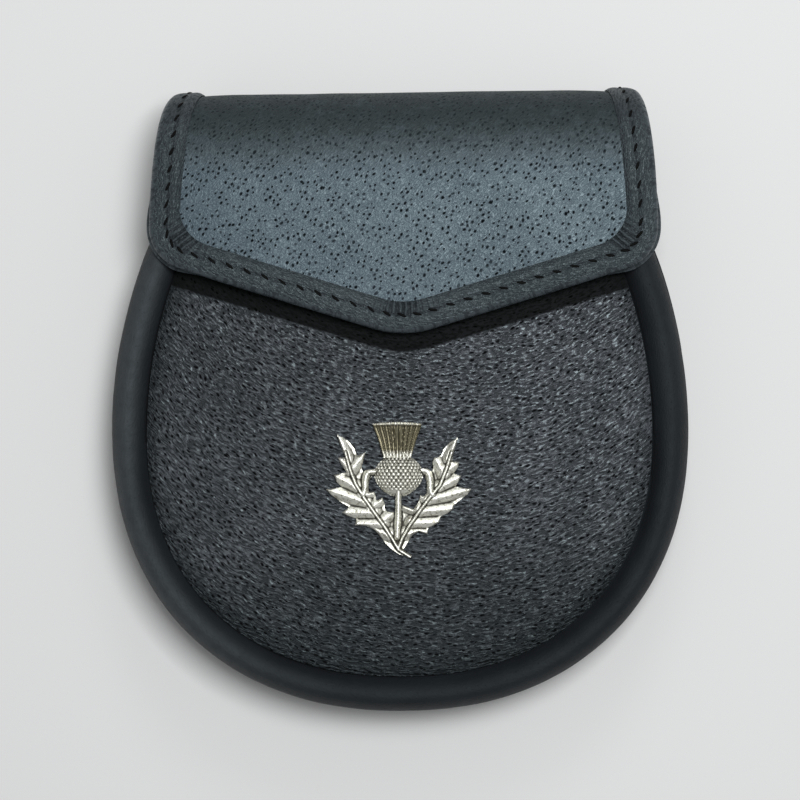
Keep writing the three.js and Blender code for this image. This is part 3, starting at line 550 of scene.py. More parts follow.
@dataclass(frozen=True)
class LeatherFinish:
    """A leather: its colours, its gloss and how deep its grain is.

    A piece's mask of wear and painted light turns it to its second colour. That colour stands for real wear
    on some pieces and for painted light and shade on others. There `calm` says how far the pores are
    smoothed, and
    `dull` how much rougher the surface is. `hollow` says how dark the hollows between the ripples are
    painted, and a second field says
    how dark the pores are painted: both are painted shade in recesses. Both are made a black metal as well,
    which gives back no gloss, so that the painted shade stays dark.
    """

    name: str
    deep: Colour
    base: Colour
    worn_and_painted_light: Colour
    roughness: float
    turn: float
    pore_spacing: float
    pore_reach: float
    pore_size: float
    pore_depth: float
    cell_spacing: float
    cell_depth: float
    ripple_spacing: float
    ripple_depth: float
    swell_depth: float
    pore_shade: float
    swirl: float = 0.0
    pore_stretch: float = 1.0
    specular: float = 0.5
    calm: float = 0.0
    dull: float = 0.0
    hollow: float = 0.0
    gather_depth: float = 0.0
    seam_line: float = 0.0
    # How the painted shade in pores and hollows turns rougher and black metal.
    pore_dull: float = 0.55
    pore_shade_metal: float = 0.95
    hollow_dull: float = 0.32
    hollow_shade_metal: float = 0.6
    # The painted shadow under the flap: its colour, and how much it darkens, dulls, blackens and flattens the
    # leather.
    shadow_tint: Colour = (0.004, 0.0035, 0.003)
    shadow_strength: float = 0.93
    shadow_dull: float = 0.55
    shadow_metal: float = 0.55
    shadow_flat: float = 0.8

    def make(
        self, grain: bpy.types.NodeTree, wear_and_painted_light: bpy.types.NodeTree, shade: bpy.types.NodeTree | None = None
    ) -> bpy.types.Material:
        """Builds the material.

        Args:
            grain: The pigskin group.
            wear_and_painted_light: The group that breaks up the mask of wear and painted light.
            shade: The group for the painted shadow under the flap and below its edge, where there is one.

        Returns:
            The material.
        """
        material, nodes, shader = open_material(self.name)
        nodes.feed(shader, {"Specular IOR Level": self.specular, "Specular Tint": (0.80, 0.97, 1.0, 1.0)})
        place, hide, mask = nodes.place(), nodes.kept("hide", "Vector"), nodes.kept("wear_and_painted_light")
        sizes = {label: getattr(self, label.lower().replace(" ", "_")) for label in GRAIN_SIZES}
        skin = nodes.add("ShaderNodeGroup", {"Vector": hide} | sizes, node_tree=grain).outputs
        pores = nodes.times(skin["Pores"], nodes.ramp(mask, 0.0, 1.0, 1.0, 1.0 - self.calm))
        low = nodes.ramp(skin["Ripple"], 0.05, 0.60, self.hollow, 0.0)
        mottle = nodes.ramp(nodes.noise(place, 45.0, 4.0, 0.6), 0.3, 0.7)
        colour = nodes.blend(mottle, self.deep, self.base)
        # Partly real wear and partly painted light and shade, piece by piece: the mask turns the leather to
        # its second colour.
        colour = nodes.blend(nodes.worn_and_painted_light(wear_and_painted_light, mask, 320.0, 1.1), colour, self.worn_and_painted_light)
        # Painted shade: the hollows between the ripples and the pores are painted darker.
        colour = nodes.blend(low, colour, scaled(self.deep, 0.2))
        colour = nodes.blend(nodes.times(pores, self.pore_shade), colour, scaled(self.deep, 0.12))
        gloss = nodes.plus(self.roughness - 0.08, nodes.noise(place, 260.0), 0.16)
        for amount, rise in ((pores, self.pore_dull), (mask, self.dull), (low, self.hollow_dull)):
            gloss = nodes.plus(gloss, amount, rise)
        # The painted shade in pores and hollows, and below in gaps and under the flap, is made a black metal
        # as well, which gives back no gloss.
        shade_metal = nodes.math(
            "MAXIMUM", nodes.times(pores, self.pore_shade_metal * self.pore_shade), nodes.times(low, self.hollow_shade_metal)
        )
        height = nodes.times(pores, -self.pore_depth)
        swell = nodes.noise(place, 130.0, 2.0)
        height = nodes.plus(height, skin["Cells"], self.cell_depth)
        height = nodes.plus(height, skin["Ripple"], self.ripple_depth)
        height = nodes.plus(height, swell, self.swell_depth)
        if self.gather_depth > 0.0:
            wave, gather = self.gathers(nodes, hide)
            folds, gap_shade = nodes.times(wave, gather), nodes.kept("gap_shade")
            height = nodes.plus(height, folds, self.gather_depth)
            # Painted light on the gathers: the fold tops are painted lighter in the worn colour, and the fold
            # bottoms get painted shade.
            top = nodes.times(gather, nodes.ramp(wave, -0.45, 0.0, 0.0, 0.55))
            colour = nodes.blend(top, colour, self.worn_and_painted_light)
            colour = nodes.blend(nodes.ramp(folds, -1.0, -0.25, 0.9, 0.0), colour, scaled(self.deep, 0.2))
            # Painted shade in the gap above the binding's lower lip: near black, rougher and black metal.
            colour = nodes.blend(gap_shade, colour, scaled(self.deep, 0.1))
            gloss = nodes.plus(gloss, gap_shade, 0.5, clamp=True)
            shade_metal = nodes.math("MAXIMUM", shade_metal, gap_shade)
        if self.seam_line > 0.0:
            # A shallow sunk line along the seam; its darkening is painted shade.
            away = nodes.math("ABSOLUTE", nodes.math("SUBTRACT", nodes.split(hide)[1], self.seam_line))
            line = nodes.ramp(away, 0.05 * MM, 0.60 * MM, 1.0, 0.0)
            height = nodes.plus(height, line, -0.10 * MM)
            colour = nodes.blend(nodes.times(line, 0.5), colour, scaled(self.deep, 0.3))
        if shade is not None:
            # Painted shadow: under the flap and in a band below its edge, the leather is painted near black,
            # made rougher and black metal, and its grain is flattened.
            painted_shadow = nodes.add("ShaderNodeGroup", {"Vector": place}, node_tree=shade).outputs["Painted Shadow"]
            colour = nodes.blend(nodes.times(painted_shadow, self.shadow_strength), colour, self.shadow_tint)
            gloss = nodes.plus(gloss, painted_shadow, self.shadow_dull, clamp=True)
            height = nodes.times(height, nodes.plus(1.0, painted_shadow, -self.shadow_flat))
            shade_metal = nodes.math("MAXIMUM", shade_metal, nodes.times(painted_shadow, self.shadow_metal))
        normal = nodes.bump(height)
        nodes.feed(shader, {"Base Color": colour, "Roughness": gloss, "Metallic": shade_metal, "Normal": normal})
        return material

    def gathers(self, nodes: Nodes, hide: Socket) -> tuple[Socket, Socket]:
        """Draws a gathered edge's small folds.

        Args:
            nodes: The tree to fill.
            hide: The place on the flat hide.

        Returns:
            The folds, -1 at their bottoms and 0 on their tops, and how far the edge has any.
        """
        wander = nodes.times(nodes.noise(hide, 200.0, 2.0), 5.0)
        phase = nodes.math("ADD", nodes.times(nodes.kept("fold"), 2.0 * math.pi), wander)
        wave = nodes.times(nodes.math("SUBTRACT", nodes.math("SINE", phase), 1.0), 0.5)
        return wave, nodes.kept("gather")


@dataclass(frozen=True)
class MetalFinish:
    """A cast or plated metal with dark patina in its hollows."""

    name: str
    bright: Colour
    aged: Colour
    patina: Colour
    roughness: float
    grain_depth: float

    def make(self, wear_and_painted_light: bpy.types.NodeTree) -> bpy.types.Material:
        """Builds the material.

        Args:
            wear_and_painted_light: The group that breaks up a mask with noise, here the patina in the
                hollows.

        Returns:
            The material.
        """
        material, nodes, shader = open_material(self.name)
        place = nodes.place()
        dirt = nodes.worn_and_painted_light(wear_and_painted_light, nodes.kept("hollow"), 900.0, 0.9)
        tone = nodes.blend(nodes.kept("warm"), self.bright, self.aged)
        stain = nodes.ramp(nodes.noise(place, 1000.0, 4.0, 0.65), 0.50, 0.66, 0.0, 0.70)
        tone = nodes.blend(stain, tone, self.aged)
        tone = nodes.blend(dirt, tone, self.patina)
        grain = nodes.noise(place, 1500.0)
        gloss = nodes.plus(nodes.times(dirt, 0.4), grain, 0.2)
        gloss = nodes.math("ADD", gloss, self.roughness)
        shine = nodes.plus(1.0, dirt, -0.55, clamp=True)
        normal = nodes.bump(nodes.times(grain, self.grain_depth))
        nodes.feed(shader, {"Base Color": tone, "Roughness": gloss, "Metallic": shine, "Normal": normal})
        return material


@dataclass(frozen=True)
class ThreadFinish:
    """A waxed sewing thread."""

    name: str
    base: Colour
    roughness: float

    def make(self) -> bpy.types.Material:
        """Builds the material."""
        material, nodes, shader = open_material(self.name)
        strands = nodes.noise(nodes.place(), 2600.0, 2.0)
        colour = nodes.blend(strands, scaled(self.base, 0.5), scaled(self.base, 1.5))
        gloss = nodes.plus(self.roughness - 0.1, strands, 0.2)
        normal = nodes.bump(strands, 0.1 * MM, 0.8)
        nodes.feed(shader, {"Specular IOR Level": 0.12, "Base Color": colour})
        nodes.feed(shader, {"Roughness": gloss, "Normal": normal})
        return material


@dataclass
class Workshop:
    """All the finishes, made once."""

    flap_grain: bpy.types.Material = field(init=False)
    panel_grain: bpy.types.Material = field(init=False)
    roll_skin: bpy.types.Material = field(init=False)
    binding_skin: bpy.types.Material = field(init=False)
    thread: bpy.types.Material = field(init=False)
    pewter: bpy.types.Material = field(init=False)
    steel: bpy.types.Material = field(init=False)

    def __post_init__(self) -> None:
        """Makes the groups and the materials from them."""
        grain, wear_and_painted_light = pigskin_group(), wear_and_light_group()
        # The painted shadow that the flap casts on the panel below its edge.
        shadow_group = flap_shadow_group(tip=(1.4 * MM, 14.0 * MM), rake=math.radians(17.0), corner=4.5 * MM)
        self.flap_grain = LeatherFinish(
            name="flap_pigskin",
            deep=(0.064, 0.088, 0.107),
            base=(0.091, 0.121, 0.145),
            worn_and_painted_light=(0.018, 0.024, 0.026),
            roughness=0.385,
            turn=math.radians(50.0),
            pore_spacing=3.8 * MM,
            pore_reach=0.95 * MM,
            pore_size=0.43 * MM,
            pore_depth=0.26 * MM,
            cell_spacing=1.1 * MM,
            cell_depth=0.03 * MM,
            ripple_spacing=0.50 * MM,
            ripple_depth=0.075 * MM,
            swell_depth=0.10 * MM,
            pore_shade=1.0,
            calm=0.55,
            dull=0.25,
            hollow=0.20,
        ).make(grain, wear_and_painted_light)
        self.panel_grain = LeatherFinish(
            name="panel_pigskin",
            deep=(0.072, 0.076, 0.086),
            base=(0.120, 0.126, 0.141),
            worn_and_painted_light=(0.012, 0.014, 0.016),
            roughness=0.345,
            turn=math.radians(8.0),
            swirl=-6.0,
            pore_spacing=3.7 * MM,
            pore_reach=1.15 * MM,
            pore_size=0.52 * MM,
            pore_depth=0.26 * MM,
            cell_spacing=1.7 * MM,
            cell_depth=0.08 * MM,
            ripple_spacing=0.66 * MM,
            ripple_depth=0.31 * MM,
            swell_depth=0.16 * MM,
            pore_shade=1.0,
            dull=0.10,
            hollow=0.75,
            pore_stretch=1.25,
        ).make(grain, wear_and_painted_light, shadow_group)
        self.roll_skin = LeatherFinish(
            name="roll_skin",
            deep=(0.009, 0.010, 0.012),
            base=(0.014, 0.016, 0.019),
            worn_and_painted_light=(0.046, 0.052, 0.057),
            roughness=0.68,
            turn=0.3,
            pore_spacing=5.0 * MM,
            pore_reach=1.4 * MM,
            pore_size=0.2 * MM,
            pore_depth=0.01 * MM,
            cell_spacing=0.9 * MM,
            cell_depth=0.03 * MM,
            ripple_spacing=0.6 * MM,
            ripple_depth=0.045 * MM,
            swell_depth=0.20 * MM,
            specular=0.20,
            pore_shade=0.1,
            dull=-0.08,
        ).make(grain, wear_and_painted_light)
        self.binding_skin = LeatherFinish(
            name="binding_skin",
            deep=(0.018, 0.023, 0.027),
            base=(0.031, 0.037, 0.043),
            worn_and_painted_light=(0.052, 0.063, 0.072),
            roughness=0.46,
            turn=0.2,
            pore_spacing=4.4 * MM,
            pore_reach=1.2 * MM,
            pore_size=0.22 * MM,
            pore_depth=0.03 * MM,
            cell_spacing=0.8 * MM,
            cell_depth=0.05 * MM,
            ripple_spacing=0.6 * MM,
            ripple_depth=0.12 * MM,
            swell_depth=0.20 * MM,
            pore_shade=0.3,
            dull=-0.12,
            hollow=0.40,
            gather_depth=0.60 * MM,
            seam_line=4.0 * MM,
        ).make(grain, wear_and_painted_light)
        self.thread = ThreadFinish("waxed_thread", (0.002, 0.002, 0.002), 0.75).make()
        self.pewter = MetalFinish(
            name="antique_pewter",
            bright=(0.96, 0.95, 0.86),
            aged=(0.25, 0.225, 0.15),
            patina=(0.040, 0.036, 0.024),
            roughness=0.36,
            grain_depth=0.15 * MM,
        ).make(wear_and_painted_light)
        self.steel = MetalFinish(
            name="plated_steel",
            bright=(0.55, 0.55, 0.54),
            aged=(0.45, 0.45, 0.44),
            patina=(0.10, 0.10, 0.10),
            roughness=0.25,
            grain_depth=0.005 * MM,
        ).make(wear_and_painted_light)


# The pouch


@dataclass(frozen=True)
class PouchForm:
    """The pouch's outline and depth. Its own y is 0 where the pouch is widest."""

    width: float = 170.0 * MM
    drop: float = 82.0 * MM
    power: float = 2.2
    side_radius: float = 148.0 * MM
    gusset_rise: float = 76.0 * MM
    panel_rise: float = 70.0 * MM
    back_rise: float = 78.0 * MM
    depth: float = 34.0 * MM
    toe_thinning: float = 1.5 * MM
    mouth_thinning: float = 1.0 * MM
    roll_width: float = 10.8 * MM
    roll_rise: float = 2.8 * MM
    crown: float = 2.0 * MM
    panel_wall: float = 2.0 * MM
    gusset_wall: float = 1.8 * MM
    seam_gap: float = 0.3 * MM
    back_lift: float = 6.6 * MM
    bend_end: float = 6.15 * MM
    bend_length: float = 26.0 * MM
    centre_shift: float = -10.0 * MM
    stitch_inset: float = 3.2 * MM

    def point(self, x: float, y: float, z: float) -> Vector:
        """Returns a place in the scene from one in the pouch's own frame."""
        return Vector((x, y + self.centre_shift, z))

    @cached_property
    def outline(self) -> Track:
        """The outline from the left mouth end round the bottom to the right one."""
        steps, bottom_share = 900, 0.6
        points = []
        for step in range(steps + 1):
            across = 2.0 * step / steps - 1.0
            away = abs(across)
            if away <= bottom_share:
                angle = away / bottom_share * math.pi / 2.0
                x = self.width / 2.0 * math.sin(angle) ** (2.0 / self.power)
                y = -self.drop * max(math.cos(angle), 0.0) ** (2.0 / self.power)
            else:
                y = (away - bottom_share) / (1.0 - bottom_share) * self.gusset_rise
                x = self.width / 2.0 - self.side_radius + math.sqrt(self.side_radius**2 - y**2)
            points.append(Vector((math.copysign(x, across), y)))
        return Track(tuple(points))

    def inset(self, distance: float, inward: float) -> Vector:
        """Returns the point that lies inward of the outline at a distance along it."""
        return self.outline.place(distance) - self.outline.out(distance) * inward

    def crest(self, y: float) -> float:
        """Returns the height of the roll's crest."""
        if y < 0.0:
            return self.depth - self.toe_thinning * (y / self.drop) ** 2
        return self.depth - self.mouth_thinning * (y / self.gusset_rise) ** 2

    def panel_top(self, y: float, share: float) -> float:
        """Returns the height of the front panel at a share of the way to its rim."""
        return self.crest(y) - self.roll_rise + self.crown * (1.0 - share**2)

    def back_face(self, y: float) -> float:
        """Returns the height of the back panel's outer face."""
        return self.back_lift * smooth_step(self.bend_end - self.bend_length, self.bend_end, y)

    def back_seam(self, distance: float) -> float:
        """Returns how far inside the outline the back seam's edge lies."""
        share = distance / self.outline.length
        along = abs(2.0 * share - 1.0)
        left = ((0.0, 0.22), (0.45, 0.20), (0.63, 0.14), (0.76, 0.12), (0.88, 0.10), (1.0, 0.14))
        right = ((0.0, 0.22), (0.45, 0.18), (0.63, 0.04), (0.76, -0.10), (0.88, -0.12), (1.0, 0.0))
        rows = left if share < 0.5 else right
        for (start, low), (end, high) in zip(rows, rows[1:]):
            if along <= end:
                return self.roll_width * mix(low, high, smooth_step(start, end, along))
        return self.roll_width * rows[-1][1]

    def rim(self, inset: Callable[[float], float], rise: float) -> Track:
        """Draws the closed rim of a panel.

        Args:
            inset: Gives how far inside the outline the rim lies at a distance along it.
            rise: The height of its straight mouth edge above the widest line.

        Returns:
            The rim from the left end of the mouth round the bottom and back along the mouth.
        """
        steps = 700
        marks = [self.outline.length * step / steps for step in range(steps + 1)]
        points = [self.inset(mark, inset(mark)) for mark in marks]
        side = [point for point in points if point.y < rise]
        reach = (abs(side[0].x) + abs(side[-1].x)) / 2.0
        bottom = [Vector((-reach, rise)), *side, Vector((reach, rise))]
        mouth = [Vector((reach * (1.0 - 2.0 * step / 40), rise)) for step in range(1, 41)]
        return Track(tuple(bottom + mouth))


@dataclass
class Pouch:
    """The pouch's body: the gusset with its roll, and the two panels."""

    form: PouchForm
    shop: Workshop
    roll_stations: int = 420
    roll_rows: int = 46

    def build(self) -> None:
        """Builds the three leather pieces."""
        self.roll()
        self.front_panel()
        self.back_panel()

    def roll_section(self, distance: float) -> Track:
        """Draws the gusset's outer face across the roll.

        Args:
            distance: How far along the outline.

        Returns:
            The section from the back seam to the front seam, as inward distance and height.
        """
        form = self.form
        y = form.outline.place(distance).y
        half = form.gusset_wall / 2.0
        low = form.back_face(y) + form.panel_wall + form.seam_gap + half
        crest = form.crest(y) - half
        seam = form.crest(y) - form.roll_rise - form.panel_wall - form.seam_gap - half
        width = form.roll_width - form.gusset_wall
        table = (
            (0.60, 0.0), (0.40, 0.09), (0.15, 0.26), (0.0, 0.50), (0.04, 0.70), (0.17, 0.88),
            (0.42, 1.0), (0.72, 0.98), (0.94, 0.87),
        )
        wall = [(half + inward * width, mix(low, crest, up)) for inward, up in table]
        foot = half + width
        path = [
            (form.back_seam(distance), low), *wall, (foot, (seam + wall[-1][1]) / 2.0),
            (foot + 0.1 * MM, seam + 0.3 * MM), (foot + 0.9 * MM, seam), (foot + form.roll_width / 2.0, seam),
        ]
        centre = Track(tuple(smooth_path(path, 5)))
        outer = []
        for mark in centre.marks:
            heading = centre.heading(mark)
            outer.append(centre.place(mark) + Vector((-heading.y, heading.x)) * half)
        return Track(tuple(outer))

    def roll(self) -> None:
        """Builds the gusset, with the soft unevenness of leather pulled round an edge."""
        form = self.form
        stations = range(self.roll_stations + 1)
        sections = [self.roll_section(form.outline.length * i / self.roll_stations) for i in stations]
        light_place, light_width, bottom_light = 0.68, 0.11, 0.1

        def place(across: float, along: float) -> Vector:
            section = sections[round(across * self.roll_stations)]
            inward, height = section.place(along * section.length)
            distance = across * form.outline.length
            flat = form.inset(distance, inward)
            spot = form.point(flat.x, flat.y, height)
            free = smooth_step(0.16, 0.3, along) * (1.0 - smooth_step(0.72, 0.8, along))
            swell = 0.22 * MM * uneven(spot, 21.0 * MM, 3.0) + 0.10 * MM * uneven(spot, 7.0 * MM, 8.0)
            pull = bell(along - 0.79, 0.05) * 0.10 * MM * uneven(spot, 3.2 * MM, 5.0)
            lift = swell * free + pull
            out = form.outline.out(distance)
            side = 1.0 - smooth_step(0.3, 0.62, along)
            return spot + Vector((out.x * lift * side, out.y * lift * side, lift * (1.0 - side)))

        # Painted highlight: a lit band along the roll's inner flank, fading along the bottom, in the lighter
        # worn colour and with more gloss.
        def wear_and_painted_light(across: float, along: float) -> float:
            light = bell(along - light_place, light_width)
            return light * mix(1.0, bottom_light, smooth_step(0.30, 0.48, across))

        def skin(across: float, along: float) -> Vector:
            section = sections[round(across * self.roll_stations)]
            return Vector((across * form.outline.length, along * section.length, 0.0))

        layers = {"wall": lambda across, along: form.gusset_wall, "wear_and_painted_light": wear_and_painted_light}
        mesh = lay_sheet(self.roll_stations, self.roll_rows, place, layers, skin)
        give_wall(mesh)
        make_piece(mesh, "roll_leather", self.shop.roll_skin, Slot.SMOOTH, ("gusset",))

    def front_panel(self) -> None:
        """Builds the grained front, crowned and tucked down along its rim."""
        form = self.form
        rim = form.rim(lambda mark: form.roll_width + form.seam_gap, form.panel_rise)
        tuck_depth, tuck_width = 0.9 * MM, 2.6 * MM

        def tuck(across: float, along: float) -> float:
            edge = (1.0 - along) * rim.place(across * rim.length).length
            return tuck_depth * (1.0 - smooth_step(0.0, tuck_width, edge)) ** 1.5

        def place(across: float, along: float) -> Vector:
            flat = rim.place(across * rim.length) * along
            spot = form.point(flat.x, flat.y, form.panel_top(flat.y, along))
            soft = 0.28 * MM * uneven(spot, 26.0 * MM, 1.0) + 0.12 * MM * uneven(spot, 9.0 * MM, 4.0)
            spot.z += soft * (1.0 - smooth_step(0.9, 1.0, along)) - tuck(across, along)
            return spot

        # Painted shade: the panel is darker towards the bottom and the left, and along the rim where it tucks
        # under the roll.
        def wear_and_painted_light(across: float, along: float) -> float:
            flat = rim.place(across * rim.length) * along
            low = 0.9 * smooth_step(10.0 * MM, -75.0 * MM, flat.y)
            left = 0.45 * smooth_step(40.0 * MM, -60.0 * MM, flat.x)
            return max(low, left) + 0.4 * smooth_step(0.9, 1.0, along)

        layers = {"wall": lambda across, along: form.panel_wall - tuck(across, along), "wear_and_painted_light": wear_and_painted_light}
        mesh = lay_sheet(360, 72, place, layers, flat_skin(place))
        give_wall(mesh, turned=True)
        make_piece(mesh, "front_panel_leather", self.shop.panel_grain, Slot.GRAINED, ("front_panel",))

    def back_panel(self) -> None:
        """Builds the back, flat where it lies, with a sunk stitch line."""
        form = self.form
        rim = form.rim(form.back_seam, form.back_rise)
        groove, groove_width = 0.5 * MM, 0.9 * MM

        def place(across: float, along: float) -> Vector:
            edge = rim.place(across * rim.length)
            flat = edge * along
            sunk = groove * bell((1.0 - along) * edge.length - form.stitch_inset, groove_width)
            return form.point(flat.x, flat.y, form.back_face(flat.y) + sunk)

        # The back panel turns darker towards its rim.
        layers = {
            "wall": lambda across, along: form.panel_wall - groove,
            "wear_and_painted_light": lambda across, along: 0.3 * along**6,
        }
        mesh = lay_sheet(300, 60, place, layers, flat_skin(place))
        give_wall(mesh)
        make_piece(mesh, "back_panel_leather", self.shop.panel_grain, Slot.GRAINED, ("back_panel",))


# The flap


@dataclass(frozen=True)
class FlapForm:
    """The flap as an unrolled sheet, and how it folds over the pouch."""

    top: float = 40.0 * MM
    fold_radius: float = 17.85 * MM
    centre_y: float = 82.85 * MM
    centre_z: float = 22.15 * MM
    run: float = 53.55 * MM
    hem: float = 21.0 * MM
    sink: float = 1.2 * MM
    width: float = 148.0 * MM
    fold_width: float = 136.6 * MM
    ease: float = 0.8 * MM
    shift: float = 1.4 * MM
    skew: float = math.radians(0.6)
    droop: float = 1.6 * MM
    rake: float = math.radians(17.0)
    corner_radius: float = 13.0 * MM
    tip_radius: float = 30.0 * MM
    wall: float = 2.0 * MM
    skin: float = 1.3 * MM
    centre_shift: float = -10.0 * MM

    @property
    def arc(self) -> float:
        """The length of the fold's half circle."""
        return math.pi * self.fold_radius

    @property
    def corner_x(self) -> float:
        """How far out the centre of a lower corner lies."""
        return self.width / 2.0 - self.corner_radius

    @property
    def corner_run(self) -> float:
        """How far down the centre of a lower corner lies."""
        tip_centre = self.run - self.tip_radius
        offset = self.tip_radius + tip_centre * math.cos(self.rake)
        return (offset - self.corner_radius - self.corner_x * math.sin(self.rake)) / math.cos(self.rake)

    def both_sides(self, right: Sequence[Vector]) -> Track:
        """Returns the path that runs down the left side and up the right one."""
        left = [Vector((-point.x, point.y)) for point in right]
        return Track((*left, *right[::-1][1:]))

    def half_width(self, run: float) -> float:
        """Returns half the flap's width at a run."""
        top_run = -math.pi / 2.0 * self.fold_radius
        share = min(max((self.corner_run - run) / (self.corner_run - top_run), 0.0), 1.0)
        return mix(self.width, self.fold_width, share**1.6) / 2.0

    def fold(self, run: float) -> tuple[Vector, Vector]:
        """Returns the outer face's place and outward direction in the plane of y and z."""
        if run < -self.arc:
            behind = Vector((self.centre_y + run + self.arc, self.centre_z - self.fold_radius))
            return behind, Vector((0.0, -1.0))
        if run < 0.0:
            out = toward(math.pi / 2.0 + run / self.fold_radius)
            return Vector((self.centre_y, self.centre_z)) + out * self.fold_radius, out
        share = run / self.run
        slope = Vector((-2.0 * self.sink * share / self.run, 1.0)).normalized()
        return Vector((self.centre_y - run, self.top - self.sink * share**2)), slope

    def point(self, x: float, run: float, height: float) -> Vector:
        """Returns a place in the scene.

        Args:
            x: How far right of the middle.
            run: How far down the sheet from the fold's end.
            height: How far off the outer face.
        """
        at, out = self.fold(run)
        on_front = smooth_step(-self.arc, -0.4 * self.arc, run)
        bent = self.droop * on_front * smooth_step(0.55, 1.05, 2.0 * abs(x) / self.width) ** 2
        skewed = (1.0 - smooth_step(0.0, self.run / 2.0, run)) * math.tan(self.skew) * x * on_front
        off = height - bent - self.ease * bell(run, 7.0 * MM)
        return Vector((x + self.shift, at.x + out.x * off + skewed + self.centre_shift, at.y + out.y * off))

    @cached_property
    def lower_edge(self) -> tuple[Vector, ...]:
        """The lower edge from the right corner's start to the middle of the tip."""
        turn = math.pi / 2.0 - self.rake
        centre = Vector((self.corner_x, self.corner_run))
        corner = [centre + toward(turn * step / 40) * self.corner_radius for step in range(41)]
        centre = Vector((0.0, self.run - self.tip_radius))
        angles = [mix(turn, math.pi / 2.0, step / 24) for step in range(25)]
        tip = [centre + toward(angle) * self.tip_radius for angle in angles]
        between = [corner[-1].lerp(tip[0], step / 40) for step in range(1, 40)]
        return tuple(corner + between + tip)

    @cached_property
    def edge(self) -> Track:
        """The bound edge, from the left end behind the fold round the tip to the right end."""
        start = -self.arc - 0.3 * MM
        runs = [mix(start, self.corner_run, step / 160) for step in range(160)]
        return self.both_sides([Vector((self.half_width(run), run)) for run in runs] + list(self.lower_edge))


